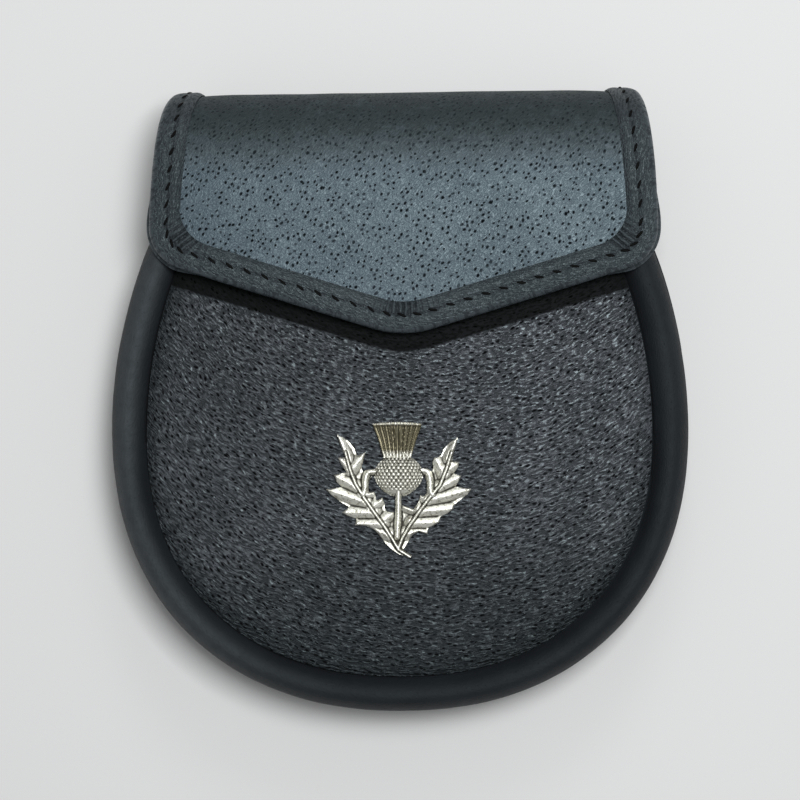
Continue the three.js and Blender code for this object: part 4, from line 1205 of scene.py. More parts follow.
@dataclass
class Flap:
    """The flap: its grained sheet, its binding and the binding's stitches."""

    form: FlapForm
    shop: Workshop
    lip: float = 9.2 * MM
    under_lip: float = 7.6 * MM
    under_reach: float = 0.7 * MM
    binding_wall: float = 1.0 * MM
    stitch_line: float = 5.3 * MM
    stitch_pitch: float = 5.35 * MM
    stitch_length: float = 2.9 * MM
    stitch_radius: float = 0.48 * MM
    stitch_sink: float = 0.14 * MM
    stitch_slant: float = math.radians(-24.0)
    inner_radius: float = 11.5 * MM
    gather_pitch: float = 1.6 * MM

    def build(self) -> None:
        """Builds the three pieces."""
        self.sheet()
        self.binding()
        self.thread()

    def sheet(self) -> None:
        """Builds the grained sheet from the hem behind to the tip in front."""
        form = self.form
        lower = form.both_sides(form.lower_edge)
        join = form.corner_run - 2.0 * MM
        front_share = 0.82
        start = -form.arc - form.hem

        def skin(across: float, along: float) -> Vector:
            mark = across * lower.length
            end = lower.place(mark) + lower.out(mark) * form.skin
            side = end.x / (form.half_width(form.corner_run) - form.skin)
            if along < front_share:
                run = mix(start, join, along / front_share)
                return Vector((side * (form.half_width(run) - form.skin), run, 0.0))
            share = (along - front_share) / (1.0 - front_share)
            x = mix(side * (form.half_width(join) - form.skin), end.x, share)
            return Vector((x, mix(join, end.y, share), 0.0))

        def place(across: float, along: float) -> Vector:
            x, run, _ = skin(across, along)
            spot = form.point(x, run, 0.0)
            inner = min(1.0 - abs(x) / form.half_width(run), (1.0 - along) * 2.0)
            calm = smooth_step(0.16, 0.34, inner) * smooth_step(-form.arc, -0.6 * form.arc, run)
            soft = 0.30 * MM * uneven(spot, 34.0 * MM, 6.0) + 0.10 * MM * uneven(spot, 11.0 * MM, 2.0)
            return form.point(x, run, soft * calm)

        # The fold: its pores are smoothed and its surface made rougher, and it gets painted shade, a darker
        # colour.
        def wear_and_painted_light(across: float, along: float) -> float:
            run = mix(start, join, min(along / front_share, 1.0))
            return 1.0 - smooth_step(-0.16 * form.arc, 0.20 * form.run, run)

        layers = {"wall": lambda across, along: form.wall, "wear_and_painted_light": wear_and_painted_light}
        mesh = lay_sheet(190, 150, place, layers, skin)
        give_wall(mesh, turned=True)
        make_piece(mesh, "flap_leather", self.shop.flap_grain, Slot.GRAINED, ("flap",))

    def pleating(self, at: Vector) -> float:
        """Returns how strongly the binding is gathered at a point of the edge, from 0 to 1."""
        form = self.form
        turn = Vector((form.corner_x, form.corner_run)) + Vector((0.62, 0.62)) * form.corner_radius
        at_corner = bell((Vector((abs(at.x), at.y)) - turn).length, 9.5 * MM)
        at_tip = bell(at.x, 9.0 * MM) if at.y > form.corner_run else 0.0
        return max(at_corner, 0.9 * at_tip)

    def inner_edge(self, distance: float) -> Vector:
        """Returns where the binding's inner edge lies, which is cut rounder than its corners."""
        form, edge = self.form, self.form.edge
        half_turn = (math.pi / 2.0 - form.rake) / 2.0
        gain = self.inner_radius - (form.corner_radius - self.lip)
        side_length = (edge.length - 2.0 * Track(form.lower_edge).length) / 2.0
        reach = form.corner_radius * half_turn + gain * math.tan(half_turn)
        mark = min(distance, edge.length - distance) - side_length - form.corner_radius * half_turn
        if abs(mark) >= reach:
            return edge.place(distance) + edge.out(distance) * self.lip
        centre = Vector((form.corner_x, form.corner_run)) - toward(half_turn) * gain / math.cos(half_turn)
        point = centre + toward(half_turn * (1.0 + mark / reach)) * self.inner_radius
        return Vector((math.copysign(point.x, distance - edge.length / 2.0), point.y))

    def binding(self) -> None:
        """Builds the binding with its gathers, its stitch dimples and its lower lip."""
        form, edge = self.form, self.form.edge
        stations, rows = 640, 36
        top, bottom, skived, skived_wall = form.skin, -form.wall - form.skin, 0.32 * MM, 0.22 * MM
        face = (
            (self.lip, skived), (self.lip * 0.85, 0.8 * top), (self.stitch_line, top),
            (3.4 * MM, top + 0.05 * MM), (1.5 * MM, top - 0.1 * MM),
        )
        plain = (
            *face, (0.45 * MM, top - 0.85 * MM), (0.0, top - 1.9 * MM), (0.15 * MM, top - 2.9 * MM),
            (0.6 * MM, bottom + 0.7 * MM), (1.6 * MM, bottom), (3.4 * MM, bottom), (self.under_lip, bottom),
        )
        lipped = (
            *face, (0.35 * MM, top - 0.85 * MM), (0.3 * MM, top - 1.8 * MM), (0.9 * MM, top - 2.7 * MM),
            (-0.6 * self.under_reach, bottom + 1.0 * MM), (-self.under_reach, bottom + 0.5 * MM),
            (0.6 * MM, bottom), (self.under_lip, bottom),
        )
        corner = Vector((form.width / 2.0, form.corner_run + form.corner_radius / 2.0))
        sections, reaches, inner = [], [], []
        for station in range(stations + 1):
            at = edge.place(edge.length * station / stations)
            inner.append(self.inner_edge(edge.length * station / stations))
            near = (Vector((abs(at.x), at.y)) - corner).length
            far = smooth_step(0.6 * form.corner_radius, 2.0 * form.corner_radius, near)
            reach = (1.0 - far) * (at.y > 0.0)
            path = [(mix(a, c, reach), mix(b, d, reach)) for (a, b), (c, d) in zip(plain, lipped)]
            sections.append(Track(tuple(smooth_path(path, 4))))
            reaches.append(reach)
        inner_line = Track(tuple(inner))

        def hump(distance: float, inward: float, along: float) -> float:
            if along > 0.5:
                return 0.0
            turn = 2.0 * math.pi * distance / self.stitch_pitch
            dimple = (0.18 * MM + 0.12 * MM * math.cos(turn)) * bell(inward - self.stitch_line, 0.8 * MM)
            inner_puff = 0.12 * MM * bell(inward - 7.0 * MM, 1.3 * MM)
            outer_puff = 0.10 * MM * bell(inward - 3.2 * MM, 1.3 * MM)
            return inner_puff + outer_puff - dimple

        def local(across: float, along: float) -> tuple[float, float, float]:
            section = sections[round(across * stations)]
            inward, height = section.place(along * section.length)
            return across * edge.length, inward, height

        def place(across: float, along: float) -> Vector:
            distance, inward, height = local(across, along)
            at, into = edge.place(distance), edge.out(distance)
            flat = at + into * inward
            if along < 0.5:
                start, end = self.stitch_line - 1.0 * MM, self.lip + 2.5 * MM
                share = smooth_step(start, end, inward) / smooth_step(start, end, self.lip)
                flat += (inner[round(across * stations)] - at - into * self.lip) * share
            raised = height + hump(distance, inward, along)
            spot = form.point(flat.x, flat.y, raised)
            rough = 0.10 * MM * uneven(spot, 4.0 * MM, 9.0) + 0.12 * MM * uneven(spot, 14.0 * MM, 2.0)
            return form.point(flat.x, flat.y, raised + max(rough, -0.1 * MM) * (along < 0.5))

        def wall(across: float, along: float) -> float:
            distance, inward, height = local(across, along)
            if along > 0.5:
                return self.binding_wall
            skiving = smooth_step(self.stitch_line, self.lip, inward)
            return mix(self.binding_wall + min(hump(distance, inward, along), 0.0), skived_wall, skiving)

        def fold(across: float, along: float) -> float:
            return inner_line.marks[round(across * stations)] / self.gather_pitch

        def gather(across: float, along: float) -> float:
            distance, inward, _ = local(across, along)
            inner = smooth_step(self.stitch_line - 0.9 * MM, self.stitch_line + 0.7 * MM, inward)
            return self.pleating(edge.place(distance)) * inner * (along < 0.5)

        # Partly wear and partly painted highlight: the rounded outer edge, a line near the inner edge, the
        # lower lip at the corners and the lower part of the binding take the lighter worn colour and more
        # gloss.
        def wear_and_painted_light(across: float, along: float) -> float:
            _, inward, height = local(across, along)
            ridge = bell(inward - 0.7 * MM, 0.9 * MM) if height > bottom + 1.0 * MM else 0.0
            lower = smooth_step(0.2 * form.run, 0.6 * form.run, edge.place(across * edge.length).y)
            under = reaches[round(across * stations)] * bell(height - bottom - 0.6 * MM, 0.5 * MM)
            return max(0.9 * ridge + 0.15 * bell(inward - 7.2 * MM, 1.2 * MM), 0.9 * under) + 0.22 * lower

        # Painted shade in the gap between the binding's upper face and its lower lip, at the corners.
        def gap_shade(across: float, along: float) -> float:
            _, inward, height = local(across, along)
            gap = bell(height - top + 2.5 * MM, 0.45 * MM) * (inward < 2.5 * MM)
            return 0.95 * gap * reaches[round(across * stations)]

        def skin(across: float, along: float) -> Vector:
            distance, inward, height = local(across, along)
            return Vector((distance, inward - height, 0.0))

        layers = {"wall": wall, "wear_and_painted_light": wear_and_painted_light, "gather": gather, "fold": fold, "gap_shade": gap_shade}
        mesh = lay_sheet(stations, rows, place, layers, skin)
        give_wall(mesh, turned=True)
        make_piece(mesh, "flap_binding_leather", self.shop.binding_skin, Slot.BINDING, ("flap_binding",))

    def thread(self) -> None:
        """Sews the binding: one slanted stitch in each dimple."""
        form, edge = self.form, self.form.edge
        mesh = bmesh.new()
        height = form.skin - self.stitch_sink
        for i in range(1, int(edge.length / self.stitch_pitch)):
            distance = (i + 0.5) * self.stitch_pitch
            at, out = edge.place(distance), -edge.out(distance)
            flat = at - out * self.stitch_line
            centre = form.point(flat.x, flat.y, height)
            ahead = edge.heading(distance)
            along = form.point(flat.x + ahead.x * MM, flat.y + ahead.y * MM, height) - centre
            up = (form.point(flat.x, flat.y, height + MM) - centre).normalized()
            along = (along - up * along.dot(up)).normalized()
            side = up.cross(along)
            slant = Matrix.Rotation(self.stitch_slant, 3, up)
            axes = Matrix((slant @ along, slant @ side, up)).transposed().to_4x4()
            sew_stitch(mesh, Matrix.Translation(centre) @ axes, self.stitch_length, self.stitch_radius)
        make_piece(mesh, "flap_binding_thread", self.shop.thread, Slot.BINDING, crease=80.0)


# The badge


Grid = np.ndarray


@dataclass(frozen=True)
class Leaf:
    """One leaf: its jagged outline, its midrib, a vein to each tip, and the arm from the head.

    All of them are in shares of the badge's half sizes.
    """

    outline: tuple[Pair, ...]
    midrib: tuple[Pair, ...]
    veins: tuple[tuple[Pair, Pair], ...]
    arm: tuple[Pair, ...]


LEFT_LEAF = Leaf(
    outline=(
        (-0.85, 0.80), (-0.81, 0.675), (-0.76, 0.53), (-0.73, 0.47), (-0.835, 0.46), (-0.79, 0.36),
        (-0.715, 0.25), (-0.885, 0.21), (-0.855, 0.11), (-0.78, 0.03), (-1.0, 0.0), (-0.93, -0.08),
        (-0.79, -0.19), (-0.68, -0.26), (-0.775, -0.34), (-0.71, -0.385), (-0.58, -0.43), (-0.60, -0.525),
        (-0.45, -0.535), (-0.34, -0.585), (-0.26, -0.675), (-0.18, -0.79), (-0.08, -0.89), (0.02, -0.955),
        (0.165, -1.0), (0.18, -0.965), (0.07, -0.885), (0.015, -0.80), (-0.03, -0.65), (-0.045, -0.48),
        (-0.065, -0.33), (-0.165, -0.325), (-0.193, -0.275), (-0.19, -0.21), (-0.225, -0.12),
        (-0.275, -0.16), (-0.307, -0.15), (-0.33, -0.035), (-0.41, -0.04), (-0.415, 0.07), (-0.39, 0.165),
        (-0.33, 0.22), (-0.30, 0.285), (-0.33, 0.30), (-0.43, 0.285), (-0.495, 0.25), (-0.51, 0.32),
        (-0.487, 0.41), (-0.455, 0.545), (-0.565, 0.49), (-0.585, 0.52), (-0.61, 0.60), (-0.675, 0.685),
        (-0.76, 0.76),
    ),
    midrib=(
        (-0.73, 0.54), (-0.67, 0.30), (-0.59, 0.08), (-0.47, -0.13), (-0.33, -0.34), (-0.20, -0.53),
        (-0.08, -0.73), (0.0, -0.88), (0.16, -0.985),
    ),
    veins=(
        ((-0.70, 0.42), (-0.84, 0.78)), ((-0.67, 0.32), (-0.82, 0.45)), ((-0.57, 0.03), (-0.875, 0.20)),
        ((-0.44, -0.19), (-0.99, 0.0)), ((-0.33, -0.34), (-0.765, -0.335)),
        ((-0.22, -0.50), (-0.59, -0.515)), ((-0.12, -0.66), (-0.33, -0.60)), ((-0.66, 0.28), (-0.46, 0.53)),
        ((-0.50, -0.09), (-0.34, -0.05)), ((-0.38, -0.27), (-0.23, -0.14)),
        ((-0.24, -0.47), (-0.08, -0.34)),
    ),
    arm=((-0.30, 0.262), (-0.42, 0.245), (-0.457, 0.14), (-0.46, 0.02), (-0.49, -0.08)),
)
RIGHT_LEAF = Leaf(
    outline=(
        (0.815, 0.76), (0.795, 0.65), (0.76, 0.54), (0.735, 0.41), (0.835, 0.403), (0.825, 0.33),
        (0.755, 0.23), (0.865, 0.203), (0.84, 0.14), (0.78, 0.04), (1.0, 0.008), (0.95, -0.075),
        (0.84, -0.16), (0.75, -0.24), (0.76, -0.28), (0.675, -0.35), (0.575, -0.40), (0.56, -0.48),
        (0.48, -0.53), (0.41, -0.56), (0.397, -0.653), (0.28, -0.615), (0.195, -0.665), (0.14, -0.75),
        (0.085, -0.85), (0.04, -0.90), (-0.025, -0.835), (-0.03, -0.65), (0.02, -0.48), (0.055, -0.235),
        (0.15, -0.265), (0.205, -0.29), (0.275, -0.185), (0.30, -0.09), (0.345, -0.10), (0.385, -0.065),
        (0.39, 0.085), (0.36, 0.21), (0.30, 0.30), (0.385, 0.315), (0.463, 0.25), (0.48, 0.32),
        (0.466, 0.39), (0.49, 0.47), (0.54, 0.47), (0.59, 0.50), (0.62, 0.585), (0.705, 0.687),
    ),
    midrib=(
        (0.73, 0.54), (0.66, 0.30), (0.57, 0.06), (0.42, -0.13), (0.28, -0.33), (0.15, -0.53),
        (0.05, -0.72), (0.0, -0.86),
    ),
    veins=(
        ((0.70, 0.43), (0.81, 0.74)), ((0.66, 0.29), (0.825, 0.39)), ((0.56, 0.03), (0.855, 0.195)),
        ((0.40, -0.16), (0.99, 0.008)), ((0.29, -0.32), (0.75, -0.275)), ((0.18, -0.49), (0.55, -0.475)),
        ((0.09, -0.64), (0.39, -0.645)), ((0.63, 0.22), (0.51, 0.455)), ((0.45, -0.08), (0.305, -0.10)),
        ((0.30, -0.30), (0.07, -0.25)),
    ),
    arm=((0.30, 0.28), (0.40, 0.255), (0.435, 0.13), (0.44, -0.02), (0.47, -0.08)),
)


@dataclass
class Badge:
    """A cast thistle between two leaves, as a height over its flat back."""

    pouch: PouchForm
    shop: Workshop
    half_width: float = 21.15 * MM
    half_height: float = 19.9 * MM
    drop: float = 16.0 * MM
    edge: float = 0.85 * MM
    ridge: float = 2.0 * MM
    bulb_relief: float = 3.3 * MM
    cell: float = 0.16 * MM
    post_radius: float = 1.2 * MM
    post_length: float = 6.0 * MM
    post_place: float = 5.0 * MM
    groove_depth: float = 0.36 * MM
    groove_place: float = 0.52 * MM
    groove_width: float = 0.18 * MM
    arm_radius: float = 1.0 * MM
    arm_rise: float = 2.2 * MM
    stem_radius: float = 0.88 * MM
    scale_pitch: Pair = (1.45 * MM, 0.98 * MM)
    scale_rise: float = 0.46 * MM
    scale_sink: float = 0.22 * MM
    leaves: tuple[Leaf, ...] = (LEFT_LEAF, RIGHT_LEAF)
    stem: tuple[Pair, ...] = ((0.0, -0.04), (-0.005, -0.40), (-0.02, -0.70))

    def build(self) -> None:
        """Builds the casting with its two posts."""
        columns = round(2.0 * self.half_width / self.cell)
        rows = round(2.0 * self.half_height / self.cell)
        x, y = np.meshgrid(
            np.linspace(-self.half_width, self.half_width, columns + 1),
            np.linspace(-self.half_height, self.half_height, rows + 1),
        )
        gap, height = self.relief(x, y)
        slope_y, slope_x = np.gradient(gap, self.cell)
        steep = np.maximum(slope_x**2 + slope_y**2, 0.2)
        border = np.abs(gap) < 1.2 * self.cell
        x = np.where(border, x - gap * slope_x / steep, x)
        y = np.where(border, y - gap * slope_y / steep, y)
        inside = np.where(gap < 0.0, height, 0.0)
        hollow = np.clip((self.soften(inside, 4) - inside) / (0.16 * MM) + 0.15, 0.0, 1.0)
        share = y / self.half_height
        warm = np.clip((share - 0.50) / 0.08, 0.0, 1.0) * np.clip((0.955 - share) / 0.02, 0.15, 1.0)
        warm *= np.abs(x) < 0.42 * self.half_width
        base = self.pouch.panel_top(0.0, 0.0) + self.pouch.seam_gap
        mesh = bmesh.new()
        layers = [mesh.verts.layers.float.new(name) for name in ("hollow", "warm")]
        bmesh.ops.create_grid(mesh, x_segments=columns, y_segments=rows, size=0.5)
        for i, vertex in enumerate(mesh.verts):
            row, column = divmod(i, columns + 1)
            up = y[row, column] - self.drop
            vertex.co = self.pouch.point(x[row, column], up, base + height[row, column])
            for layer, values in zip(layers, (hollow, warm)):
                vertex[layer] = float(values[row, column])
        mesh.verts.index_update()
        beyond = gap.ravel() > 0.75 * self.cell
        outside = [vertex for vertex in mesh.verts if beyond[vertex.index]]
        bmesh.ops.delete(mesh, geom=outside, context="VERTS")
        loose = [vertex for vertex in mesh.verts if not vertex.link_faces]
        bmesh.ops.delete(mesh, geom=loose, context="VERTS")
        grown = bmesh.ops.extrude_face_region(mesh, geom=mesh.faces[:], use_keep_orig=True)
        for vertex in grown["geom"]:
            if isinstance(vertex, bmesh.types.BMVert):
                vertex.co.z = base
        sunk = self.post_length / 2.0 - 0.45 * MM
        for side in (-1.0, 1.0):
            foot = self.pouch.point(side * self.post_place, -self.drop - 0.4 * self.half_height, base - sunk)
            bmesh.ops.create_cone(
                mesh,
                cap_ends=True,
                segments=24,
                radius1=self.post_radius,
                radius2=self.post_radius,
                depth=self.post_length,
                matrix=Matrix.Translation(foot),
            )
        bmesh.ops.recalc_face_normals(mesh, faces=mesh.faces[:])
        make_piece(mesh, "badge_casting", self.shop.pewter, Slot.PEWTER, ("thistle_badge",), crease=65.0)

    def soften(self, values: Grid, reach: int) -> Grid:
        """Returns a grid averaged over its neighbours up to a reach, in both directions."""
        for axis in (0, 1):
            values = sum(np.roll(values, step, axis) for step in range(-reach, reach + 1)) / (2 * reach + 1)
        return values

    def along(self, path: Sequence[Pair], x: Grid, y: Grid) -> tuple[Grid, Grid]:
        """Measures points against a path.

        Args:
            path: Its points, in shares of the half sizes.
            x: The points' places across.
            y: The points' places up.

        Returns:
            The distance of each point from the path, and how far along the path it lies, from 0 to 1.
        """
        knots = [(a * self.half_width, b * self.half_height) for a, b in path]
        lengths = [math.hypot(c - a, d - b) for (a, b), (c, d) in zip(knots, knots[1:])]
        nearest, share, passed = np.full_like(x, 1.0), np.zeros_like(x), 0.0
        for (a, b), (c, d), length in zip(knots, knots[1:], lengths):
            t = np.clip(((x - a) * (c - a) + (y - b) * (d - b)) / length**2, 0.0, 1.0)
            gap = np.hypot(x - a - t * (c - a), y - b - t * (d - b))
            closer = gap < nearest
            nearest = np.where(closer, gap, nearest)
            share = np.where(closer, (passed + t * length) / sum(lengths), share)
            passed += length
        return nearest, share

    def leaf_relief(self, leaf: Leaf, x: Grid, y: Grid) -> tuple[Grid, Grid]:
        """Shapes one leaf: a ridge along each vein, valleys between them, and a midrib in two grooves."""
        corners = [(a * self.half_width, b * self.half_height) for a, b in leaf.outline]
        nearest, inside = np.full_like(x, 1.0), np.zeros(x.shape, dtype=bool)
        for (a, b), (c, d) in zip(corners, corners[1:] + corners[:1]):
            t = np.clip(((x - a) * (c - a) + (y - b) * (d - b)) / ((c - a) ** 2 + (d - b) ** 2), 0.0, 1.0)
            nearest = np.minimum(nearest, np.hypot(x - a - t * (c - a), y - b - t * (d - b)))
            if b != d:
                inside ^= ((b > y) != (d > y)) & (x < (c - a) * (y - b) / (d - b) + a)
        gap = np.where(inside, -nearest, nearest)
        height = np.full_like(x, 0.8 * self.edge)
        for vein in leaf.veins:
            far, share = self.along(vein, x, y)
            roof = mix(self.ridge, 0.72 * self.ridge, share) - 0.22 * far - 0.16 * far**2 / MM
            height = np.maximum(height, roof)
        height = np.minimum(height, self.edge + np.clip(-1.6 * gap, 0.0, 2.0 * MM))
        far, _ = self.along(leaf.midrib, x, y)
        height = height - self.groove_depth * np.exp(-(((far - self.groove_place) / self.groove_width) ** 2))
        rib = np.where(far < 0.36 * MM, self.ridge + 0.15 * MM - 0.6 * far, 0.0)
        far, _ = self.along([tuple(point) for point in smooth_path(leaf.arm, 5)], x, y)
        arm = self.arm_rise * np.sqrt(np.clip(1.0 - (far / (1.2 * self.arm_radius)) ** 2, 0.0, 1.0))
        arm = np.where(far < self.arm_radius, arm, 0.0)
        return gap, np.maximum.reduce([height, rib, arm])

    def stalk(self, x: Grid, y: Grid) -> tuple[Grid, Grid]:
        """Shapes the stem, a round bar."""
        far, _ = self.along(self.stem, x, y)
        round_top = np.sqrt(np.clip(1.0 - (far / (1.25 * self.stem_radius)) ** 2, 0.05, 1.0))
        return far - self.stem_radius, self.arm_rise * round_top

    def bulb(self, x: Grid, y: Grid) -> tuple[Grid, Grid]:
        """Shapes the thistle's head, with rows of small raised scales."""
        half_x, half_y = 0.345 * self.half_width, 0.335 * self.half_height
        up = (y - 0.225 * self.half_height) / half_y
        narrowing = 1.0 - 0.38 * np.clip(up, 0.0, 1.0) ** 1.6 - 0.14 * np.clip(-up, 0.0, 1.0)
        across = x / (half_x * narrowing)
        reach = np.hypot(across, up)
        gap = (reach - 1.0) * 6.2 * MM
        dome = self.bulb_relief * np.sqrt(np.clip(1.0 - reach**2, 0.06, 1.0))
        round_x = np.arcsin(np.clip(across, -1.0, 1.0)) * half_x
        round_y = np.arcsin(np.clip(up, -1.0, 1.0)) * half_y
        pitch_x, pitch_y = self.scale_pitch
        row = np.round(round_y / pitch_y)
        shift = np.where(row % 2 > 0.5, 0.5, 0.0)
        off_x = round_x - (np.round(round_x / pitch_x - shift) + shift) * pitch_x
        off_y = round_y - row * pitch_y
        scale = np.clip(1.0 - (off_x / (0.62 * MM)) ** 2 - ((off_y + 0.12 * MM) / (0.64 * MM)) ** 2, 0.0, 1.0)
        kept = np.clip((up + 0.85) / 0.3, 0.25, 1.0)
        return gap, dome + (self.scale_rise * scale**0.6 - self.scale_sink) * kept

    def tuft(self, x: Grid, y: Grid) -> tuple[Grid, Grid]:
        """Shapes the flower: fine upright flutes under a raised rim."""
        up = y / self.half_height
        x = x + 0.015 * self.half_width
        half = self.half_width * np.interp(up, (0.48, 0.74, 0.99), (0.19, 0.265, 0.36))
        across = x / half
        top = 0.99 - 0.028 * across**2
        ends = np.maximum(up - top, 0.46 - up) * self.half_height
        gap = np.maximum(np.abs(x) - half, ends)
        comb = np.cos(2.0 * np.pi * across * 8.5)
        gap = np.where(up > 0.9, gap + 0.14 * MM * (0.5 - 0.5 * comb), gap)
        dome = (0.80 - 0.20 * np.clip((up - 0.5) / 0.5, 0.0, 1.0)) * (1.0 - 0.42 * across**2)
        flutes = 0.13 * MM * comb + 0.09 * MM * np.cos(2.0 * np.pi * across * 13.0 + 1.0 + 4.0 * up)
        rim = 0.34 * MM * np.exp(-(((up - top + 0.028) / 0.020) ** 2)) * (0.75 + 0.25 * comb)
        return gap, self.bulb_relief * dome + flutes + rim

    def relief(self, x: Grid, y: Grid) -> tuple[Grid, Grid]:
        """Joins all forms.

        Args:
            x: The grid's places across, from the badge's centre.
            y: The grid's places up.

        Returns:
            How far outside the badge each point lies, below 0 inside, and the height over the flat back.
        """
        forms = [self.leaf_relief(leaf, x, y) for leaf in self.leaves]
        forms += [self.stalk(x, y), self.bulb(x, y), self.tuft(x, y)]
        gap = np.minimum.reduce([form[0] for form in forms])
        near = 0.25 * self.cell
        height = np.maximum.reduce([np.where(form[0] < near, form[1], 0.0) for form in forms])
        return gap, np.maximum(height, 0.55 * MM)


# What the photo hides


@dataclass
class HiddenParts:
    """The closure disc, the belt loops and the back seam's thread, made plainly."""

    pouch: PouchForm
    shop: Workshop
    disc_radius: float = 6.0 * MM
    disc_foot: float = 32.64 * MM
    disc_head: float = 36.87 * MM
    disc_place: float = 44.4 * MM
    loop_width: float = 24.0 * MM
    loop_spacing: float = 76.0 * MM
    loop_wall: float = 2.0 * MM
    stitch_pitch: float = 5.0 * MM
    stitch_length: float = 3.6 * MM
    stitch_radius: float = 0.36 * MM
    stitch_sink: float = 0.42 * MM

    def build(self) -> None:
        """Builds them all."""
        self.disc()
        for name, side in (("belt_loop_left", -1.0), ("belt_loop_right", 1.0)):
            self.belt_loop(name, side)
        self.back_thread()

    def disc(self) -> None:
        """Builds the closure disc: a waisted disc with rounded rims."""
        r, waist, chamfer = self.disc_radius, 1.0 * MM, 0.4 * MM
        half = ((0.0, 0.0), (r - chamfer, 0.0), (r, chamfer), (r, 1.1 * MM), (r - waist, 1.6 * MM))
        profile = [(x, self.disc_foot + z) for x, z in half]
        profile += [(x, self.disc_head - z) for x, z in half[::-1]]
        mesh = bmesh.new()
        hollow = mesh.verts.layers.float.new("hollow")
        line = [mesh.verts.new((x, 0.0, z)) for x, z in profile]
        edges = [mesh.edges.new(pair) for pair in zip(line, line[1:])]
        bmesh.ops.spin(
            mesh,
            geom=line + edges,
            cent=(0.0, 0.0, 0.0),
            axis=(0.0, 0.0, 1.0),
            angle=2.0 * math.pi,
            steps=48,
            use_merge=True,
            use_duplicate=False,
        )
        bmesh.ops.remove_doubles(mesh, verts=mesh.verts[:], dist=1e-6)
        bmesh.ops.recalc_face_normals(mesh, faces=mesh.faces[:])
        for vertex in mesh.verts:
            vertex[hollow] = 0.6 if math.hypot(vertex.co.x, vertex.co.y) < r - 0.8 * waist else 0.0
        shift = self.pouch.point(0.0, self.disc_place, 0.0)
        bmesh.ops.translate(mesh, verts=mesh.verts[:], vec=shift)
        make_piece(mesh, "closure_disc", self.shop.steel, Slot.STEEL, ("closure_stud",), crease=30.0)

    def belt_loop(self, name: str, side: float) -> None:
        """Builds one belt loop.

        Args:
            name: The CAD node that it stands for.
            side: -1 for the left one and 1 for the right one.
        """
        half = self.loop_wall / 2.0
        path_mm = (
            (13.15, 5.3), (17.0, 5.3), (21.4, 5.2), (25.6, 3.1), (29.9, 1.05), (36.0, 1.0),
            (48.0, 1.0), (54.6, 1.03), (58.6, 2.0), (62.8, 2.97), (67.0, 3.0), (71.15, 3.0),
        )
        track = Track(tuple(smooth_path([(y * MM, z * MM) for y, z in path_mm], 5)))

        def place(across: float, along: float) -> Vector:
            mark = along * track.length
            spot, heading = track.place(mark), track.heading(mark)
            outer = spot + Vector((heading.y, -heading.x)) * half
            x = side * self.loop_spacing / 2.0 + (across - 0.5) * self.loop_width
            return self.pouch.point(x, outer.x, max(outer.y, 0.0))

        def skin(across: float, along: float) -> Vector:
            return Vector((across * self.loop_width + side, along * track.length, 0.0))

        def wear_and_painted_light(across: float, along: float) -> float:
            return 0.5 * bell(0.5 - abs(across - 0.5), 0.05) + 0.2

        mesh = lay_sheet(24, 60, place, {"wall": lambda across, along: self.loop_wall, "wear_and_painted_light": wear_and_painted_light}, skin)
        give_wall(mesh, turned=True)
        round_edges(mesh, 0.35 * MM)
        make_piece(mesh, f"{name}_strap", self.shop.roll_skin, Slot.SMOOTH, (name,))

    def back_thread(self) -> None:
        """Sews the back seam: one stitch after the other in the groove round the back panel."""
        form = self.pouch
        inset = form.stitch_inset
        rim = form.rim(lambda mark: form.back_seam(mark) + inset, form.back_rise - inset)
        mesh = bmesh.new()
        reach = 0.86 * rim.length
        for i in range(int(reach / self.stitch_pitch)):
            mark = (i + 0.5) * self.stitch_pitch
            spot, heading = rim.place(mark), rim.heading(mark)
            centre = form.point(spot.x, spot.y, form.back_face(spot.y) + self.stitch_sink)
            turn = Matrix.Rotation(math.atan2(heading.y, heading.x), 4, "Z")
            sew_stitch(mesh, Matrix.Translation(centre) @ turn, self.stitch_length, self.stitch_radius)
        make_piece(mesh, "back_seam_thread", self.shop.thread, Slot.GRAINED, crease=80.0)


# Camera, lights and floor


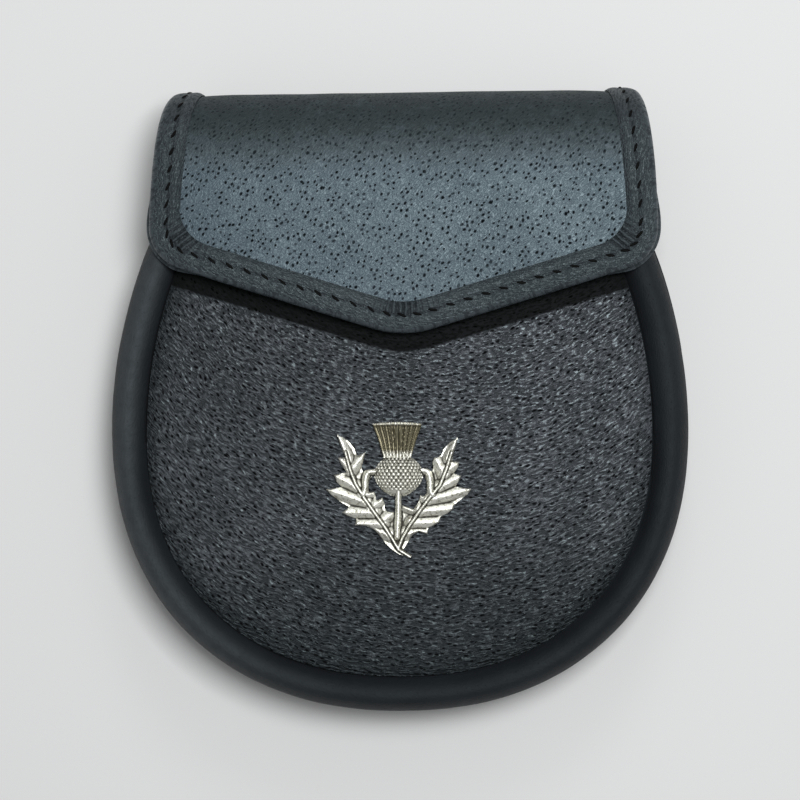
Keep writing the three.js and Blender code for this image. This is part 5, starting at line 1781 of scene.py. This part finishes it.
@dataclass(frozen=True)
class Studio:
    """A camera straight above, soft lights and a pale floor."""

    distance: float = 0.85
    target: tuple[float, float, float] = (0.0, 0.0, 0.018)
    lean: float = math.radians(1.5)
    field_of_view: float = math.radians(15.9)
    tint: Colour = (0.97, 0.99, 1.0)

    def camera(self) -> None:
        """Sets the camera up."""
        data = bpy.data.cameras.new("camera")
        data.sensor_width = 36.0
        data.lens = 18.0 / math.tan(self.field_of_view / 2.0)
        camera = bpy.data.objects.new("camera", data)
        bpy.context.scene.collection.objects.link(camera)
        offset = Vector((math.sin(self.lean), 0.0, math.cos(self.lean))) * self.distance
        camera.location = Vector(self.target) + offset
        camera.rotation_euler = (0.0, self.lean, 0.0)
        bpy.context.scene.camera = camera

    def light(self, name: str, place: tuple[float, float, float], size: float, power: float) -> None:
        """Hangs a soft square light that faces the sporran.

        Args:
            name: The light's name.
            place: Where it hangs.
            size: Its side.
            power: Its power in watts.
        """
        data = bpy.data.lights.new(name, "AREA")
        data.shape = "SQUARE"
        data.size = size
        data.energy = power
        data.color = self.tint
        lamp = bpy.data.objects.new(name, data)
        lamp.location = place
        lamp.rotation_euler = (-Vector(place)).to_track_quat("-Z", "Y").to_euler()
        bpy.context.scene.collection.objects.link(lamp)

    def floor(self) -> None:
        """Lays the floor."""
        mesh = bmesh.new()
        bmesh.ops.create_grid(mesh, x_segments=2, y_segments=2, size=2.0)
        data = bpy.data.meshes.new("floor")
        mesh.to_mesh(data)
        mesh.free()
        material, nodes, shader = open_material("pale_floor")
        tone = nodes.blend(nodes.noise(nodes.place(), 3.0), (0.810, 0.800, 0.795), (0.830, 0.820, 0.815))
        nodes.feed(shader, {"Roughness": 0.9, "Specular IOR Level": 0.1, "Base Color": tone})
        data.materials.append(material)
        floor = bpy.data.objects.new("floor", data)
        bpy.context.scene.collection.objects.link(floor)
        floor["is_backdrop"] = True

    def build(self) -> None:
        """Sets up the camera, the world, the lights and the floor."""
        self.camera()
        self.floor()
        world = bpy.data.worlds.new("studio")
        world.use_nodes = True
        background = world.node_tree.nodes["Background"]
        background.inputs["Color"].default_value = (*self.tint, 1.0)
        background.inputs["Strength"].default_value = 0.26
        bpy.context.scene.world = world
        self.light("overhead", (0.15, 0.155, 0.97), 0.30, 6.6)
        self.light("upper", (0.10, 0.75, 0.66), 0.30, 0.9)
        bpy.context.scene.view_settings.view_transform = "Standard"


def write_sizes(cad_box: tuple[Vector, Vector]) -> None:
    """Gathers the CAD box and the visual model's box as plain lists, which it does not write anywhere."""
    boxes = {"cad": cad_box, "visual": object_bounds()}
    plain = {name: [list(map(float, corner)) for corner in box] for name, box in boxes.items()}


def main() -> None:
    """Builds the sporran and the studio."""
    logging.basicConfig(level=logging.INFO, format="%(name)s: %(message)s")
    Studio().build()
    shop = Workshop()
    pouch = PouchForm()
    Pouch(pouch, shop).build()
    Flap(FlapForm(), shop).build()
    Badge(pouch, shop).build()
    HiddenParts(pouch, shop).build()
    write_sizes(CAD_BOX)


if __name__ == "__main__":
    main()
